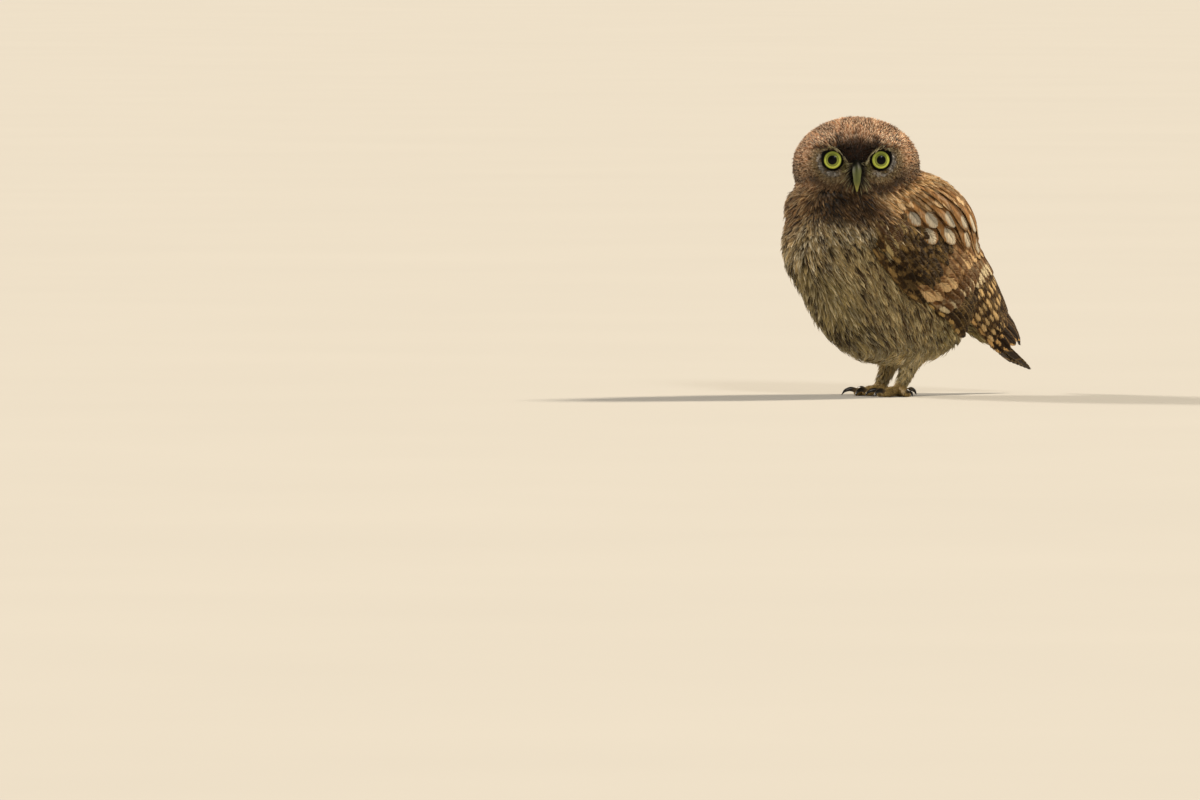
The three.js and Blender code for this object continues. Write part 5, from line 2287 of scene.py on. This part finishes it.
@dataclass
class Feet:
    """The toes with their pads and rings, and the curved claws."""

    stance: Stance
    toes: tuple = ((-14, 14, 8), (16, 16, 8), (78, 13, 7), (196, 9, 7))
    heights: tuple = (4.2, 3.2, 2.3, 1.9)
    radii: tuple = (3.4, 2.9, 2.6, 2.5)
    claw: tuple = ((-0.2, 3.0), (0.3, 4.0), (0.75, 2.9), (1.0, 0.7))
    claw_radii: tuple = (1.5, 1.4, 1.0, 0.25)
    ankle_radius: float = 4.2
    sole: float = 0.8
    toe_finish: SkinFinish = SkinFinish("toe_skin", "a0844c", "4e3d20", 900.0, 0.6, 0.0003)
    claw_finish: HornFinish = HornFinish("claw_horn", "5a4a34", "1d1813", "120f0c", roughness=0.28)

    def tube(self, line: Array, radii: Array, around: int) -> Array:
        """Points of a round tube that is cut flat where it meets the floor.

        Args:
            line: The middle of each ring.
            radii: The radius of each ring.
            around: How many points a ring has.

        Returns:
            The points.
        """
        ways = unit(np.gradient(line, axis=0))
        across = unit(np.cross(ways, [0, 0, 1.0]))
        points = tube_points(line, across, np.cross(across, ways), radii, around)
        points[:, 2] = np.maximum(points[:, 2], 0.0)
        return points[None]

    def bent(self, side: Side, turn: float, profile: tuple, count: int) -> Array:
        """A curve in an upright plane through the middle of a foot.

        Args:
            side: Which foot.
            turn: The plane's direction in degrees, 0 for straight ahead.
            profile: Reaches and heights of the points that the curve passes.
            count: How many points are wanted.

        Returns:
            Points along the curve.
        """
        heading = math.radians(turn) * side.value
        curve = smooth_line(tuple((reach, 0, z) for reach, z in profile), count)
        x = side.value * FOOT_AT[0] + math.sin(heading) * curve[:, 0]
        return np.stack([x, FOOT_AT[1] - math.cos(heading) * curve[:, 0], curve[:, 2]], -1)

    def build(self) -> list[bpy.types.Object]:
        """Makes both feet.

        Returns:
            The pieces.
        """
        skin, horn = self.toe_finish.build(), self.claw_finish.build()
        pieces = []
        for side in Side:
            foot = Piece(f"toes_{side.word}")
            for number, (turn, length, claw_length) in enumerate(self.toes, 1):
                rings, around = 40, 28
                share = np.linspace(0, 1, rings)
                line = self.bent(side, turn, tuple((length * k / 3, z) for k, z in enumerate(self.heights)), rings)
                pads = 1 + 0.07 * np.sin(share * math.pi * 6) - 0.5 * ramp(0.93, 1.0, share)
                foot.add(self.tube(line, stations(self.radii, share) * pads, around), *ring_faces(rings, around))
                rings, around = 28, 20
                claw = self.bent(side, turn, tuple((length + d * claw_length, z) for d, z in self.claw), rings)
                points = self.tube(claw, stations(self.claw_radii, np.linspace(0, 1, rings)), around)
                nail = Piece(f"nail_{side.word}_{number}")
                nail.add(points, *ring_faces(rings, around), vane=tube_vane(rings, around))
                made = nail.build(self.stance, horn)
                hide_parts(f"claw_{side.word}_{number}")
                pieces.append(made)
            rings, around = 16, 28
            line = np.array([[side.value * FOOT_AT[0], FOOT_AT[1], z] for z in np.linspace(0.2, 8.0, rings)])
            swell = self.ankle_radius * np.sqrt(np.clip(1 - ((line[:, 2] - 3.6) / 5.2) ** 2, 0.05, 1))
            across, back = (np.broadcast_to(way, line.shape) for way in ([1.0, 0, 0], [0, 1.0, 0]))
            foot.add(tube_points(line, across, back, swell, around)[None], *ring_faces(rings, around))
            made = foot.build(self.stance, skin)
            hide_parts("foot_" + side.word)
            pieces.append(made)
        LOG.info("feet: %d pieces", len(pieces))
        return pieces


# The room


def seen_from(azimuth: float, elevation: float) -> Array:
    """The unit vector towards a place at an azimuth and a height over the horizon, both in degrees."""
    a, e = math.radians(azimuth), math.radians(elevation)
    return np.array([math.sin(a) * math.cos(e), -math.cos(a) * math.cos(e), math.sin(e)])


@dataclass
class Studio:
    """A plain pale floor, soft lights and the camera."""

    stance: Stance
    azimuth: float = 56.0
    elevation: float = 2.0
    distance: float = 10.0
    picture_width_px: int = 1200
    picture_height_px: int = 800
    pixel: float = 0.6
    origin_px: tuple[float, float] = (884.0, 396.0)
    sensor: float = 36.0
    ambient: float = 0.2
    backdrop: float = 0.6

    def camera(self) -> None:
        """Makes the camera at the photo's angle and framing."""
        a = math.radians(self.azimuth)
        right, back = np.array([math.cos(a), math.sin(a), 0]), seen_from(self.azimuth, self.elevation)
        up = np.cross(back, right)
        dx = (self.picture_width_px / 2 - self.origin_px[0]) * self.pixel
        dy = (self.origin_px[1] - self.picture_height_px / 2) * self.pixel
        data = bpy.data.cameras.new("camera")
        data.sensor_width = self.sensor
        data.lens = self.sensor * self.distance / (self.picture_width_px * self.pixel * MILLIMETRE)
        data.clip_end = 100.0
        camera = new_object("camera", data)
        camera.location = self.stance.place(right * dx + up * dy) + back * self.distance
        camera.rotation_euler = Matrix(np.stack([right, up, back], 1).tolist()).to_euler()
        bpy.context.scene.camera = camera

    def floor(self) -> None:
        """Makes the floor."""
        board = Surface("floor_matt", Roughness=0.85, Specular_IOR_Level=0.2)
        grain = board.use("mottle", Colour=(0.5, 0.485, 0.455, 1), Scale=3.0, Amount=0.06)
        mesh = bpy.data.meshes.new("floor")
        half = 20.0
        mesh.from_pydata([(-half, -half, 0), (half, -half, 0), (half, half, 0), (-half, half, 0)], [], [(0, 1, 2, 3)])
        mesh.materials.append(board.finish(grain.outputs["Colour"]))
        floor = new_object("floor", mesh)

    def light(self, name: str, azimuth: float, elevation: float, power: float, spread: float, colour: tuple) -> None:
        """Adds a distant soft lamp.

        Args:
            name: The lamp's name.
            azimuth: Its direction in degrees, as for the camera.
            elevation: Its height over the horizon in degrees.
            power: Its strength.
            spread: How wide it looks in degrees, which softens its shadows.
            colour: Its colour.
        """
        data = bpy.data.lights.new(name, "SUN")
        data.energy, data.angle, data.color = power, math.radians(spread), colour
        lamp = new_object(name, data)
        back = Vector(seen_from(azimuth, elevation))
        lamp.location = back * 2
        lamp.rotation_euler = back.to_track_quat("Z", "Y").to_euler()

    def build(self) -> None:
        """Makes the whole room."""
        self.camera()
        self.floor()
        self.light("front", self.azimuth + 16, 30, 1.0, 12, (1.0, 0.97, 0.9))
        self.light("rim_right", self.azimuth + 112, 44, 4.2, 10, (1.0, 0.87, 0.68))
        self.light("rim_left", self.azimuth - 116, 26, 3.2, 10, (1.0, 0.9, 0.76))
        world = bpy.data.worlds.new("room")
        bpy.context.scene.world = world
        world.use_nodes = True
        board = Board(world.node_tree)
        shown = board.node("LightPath").outputs["Is Camera Ray"]
        strength = board.math("MULTIPLY_ADD", shown, self.backdrop - self.ambient, self.ambient)
        sky = world.node_tree.nodes["Background"]
        board.feed(sky.inputs["Color"], (1.0, 0.92, 0.79, 1))
        board.feed(sky.inputs["Strength"], strength)
        bpy.context.scene.view_settings.view_transform = "Standard"


def main() -> None:
    """Builds the owl and its room."""
    logging.basicConfig(level=logging.INFO, format="%(name)s %(message)s")
    make_mottle_group()
    make_spot_group()
    stance = Stance.from_frame()
    studio = Studio(stance)
    studio.build()
    wing = Wing(stance)
    plumage = Plumage(stance, wing)
    coat_finish = CoatFinish("coat_down").build()
    skin = Skin(stance, plumage)
    pieces = [skin.build(coat_finish)]
    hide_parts("head", "neck", "torso", "leg_left", "leg_right")
    coat = Coat(stance, plumage, wing).build(skin.points, coat_finish)
    pieces += coat
    pieces += wing.build(coat_finish)
    pieces += Tail(stance).build()
    pieces += Eyes(stance).build()
    pieces.append(Brows(stance).build(coat_finish, plumage))
    pieces += Bill(stance).build(coat_finish)
    pieces += Feet(stance).build()
    for piece in pieces:
        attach(piece, "root")
    triangles = sum(len(p.vertices) - 2 for o in pieces for p in o.data.polygons)
    LOG.info("%d pieces, %d triangles", len(pieces), triangles)


if __name__ == "__main__":
    main()
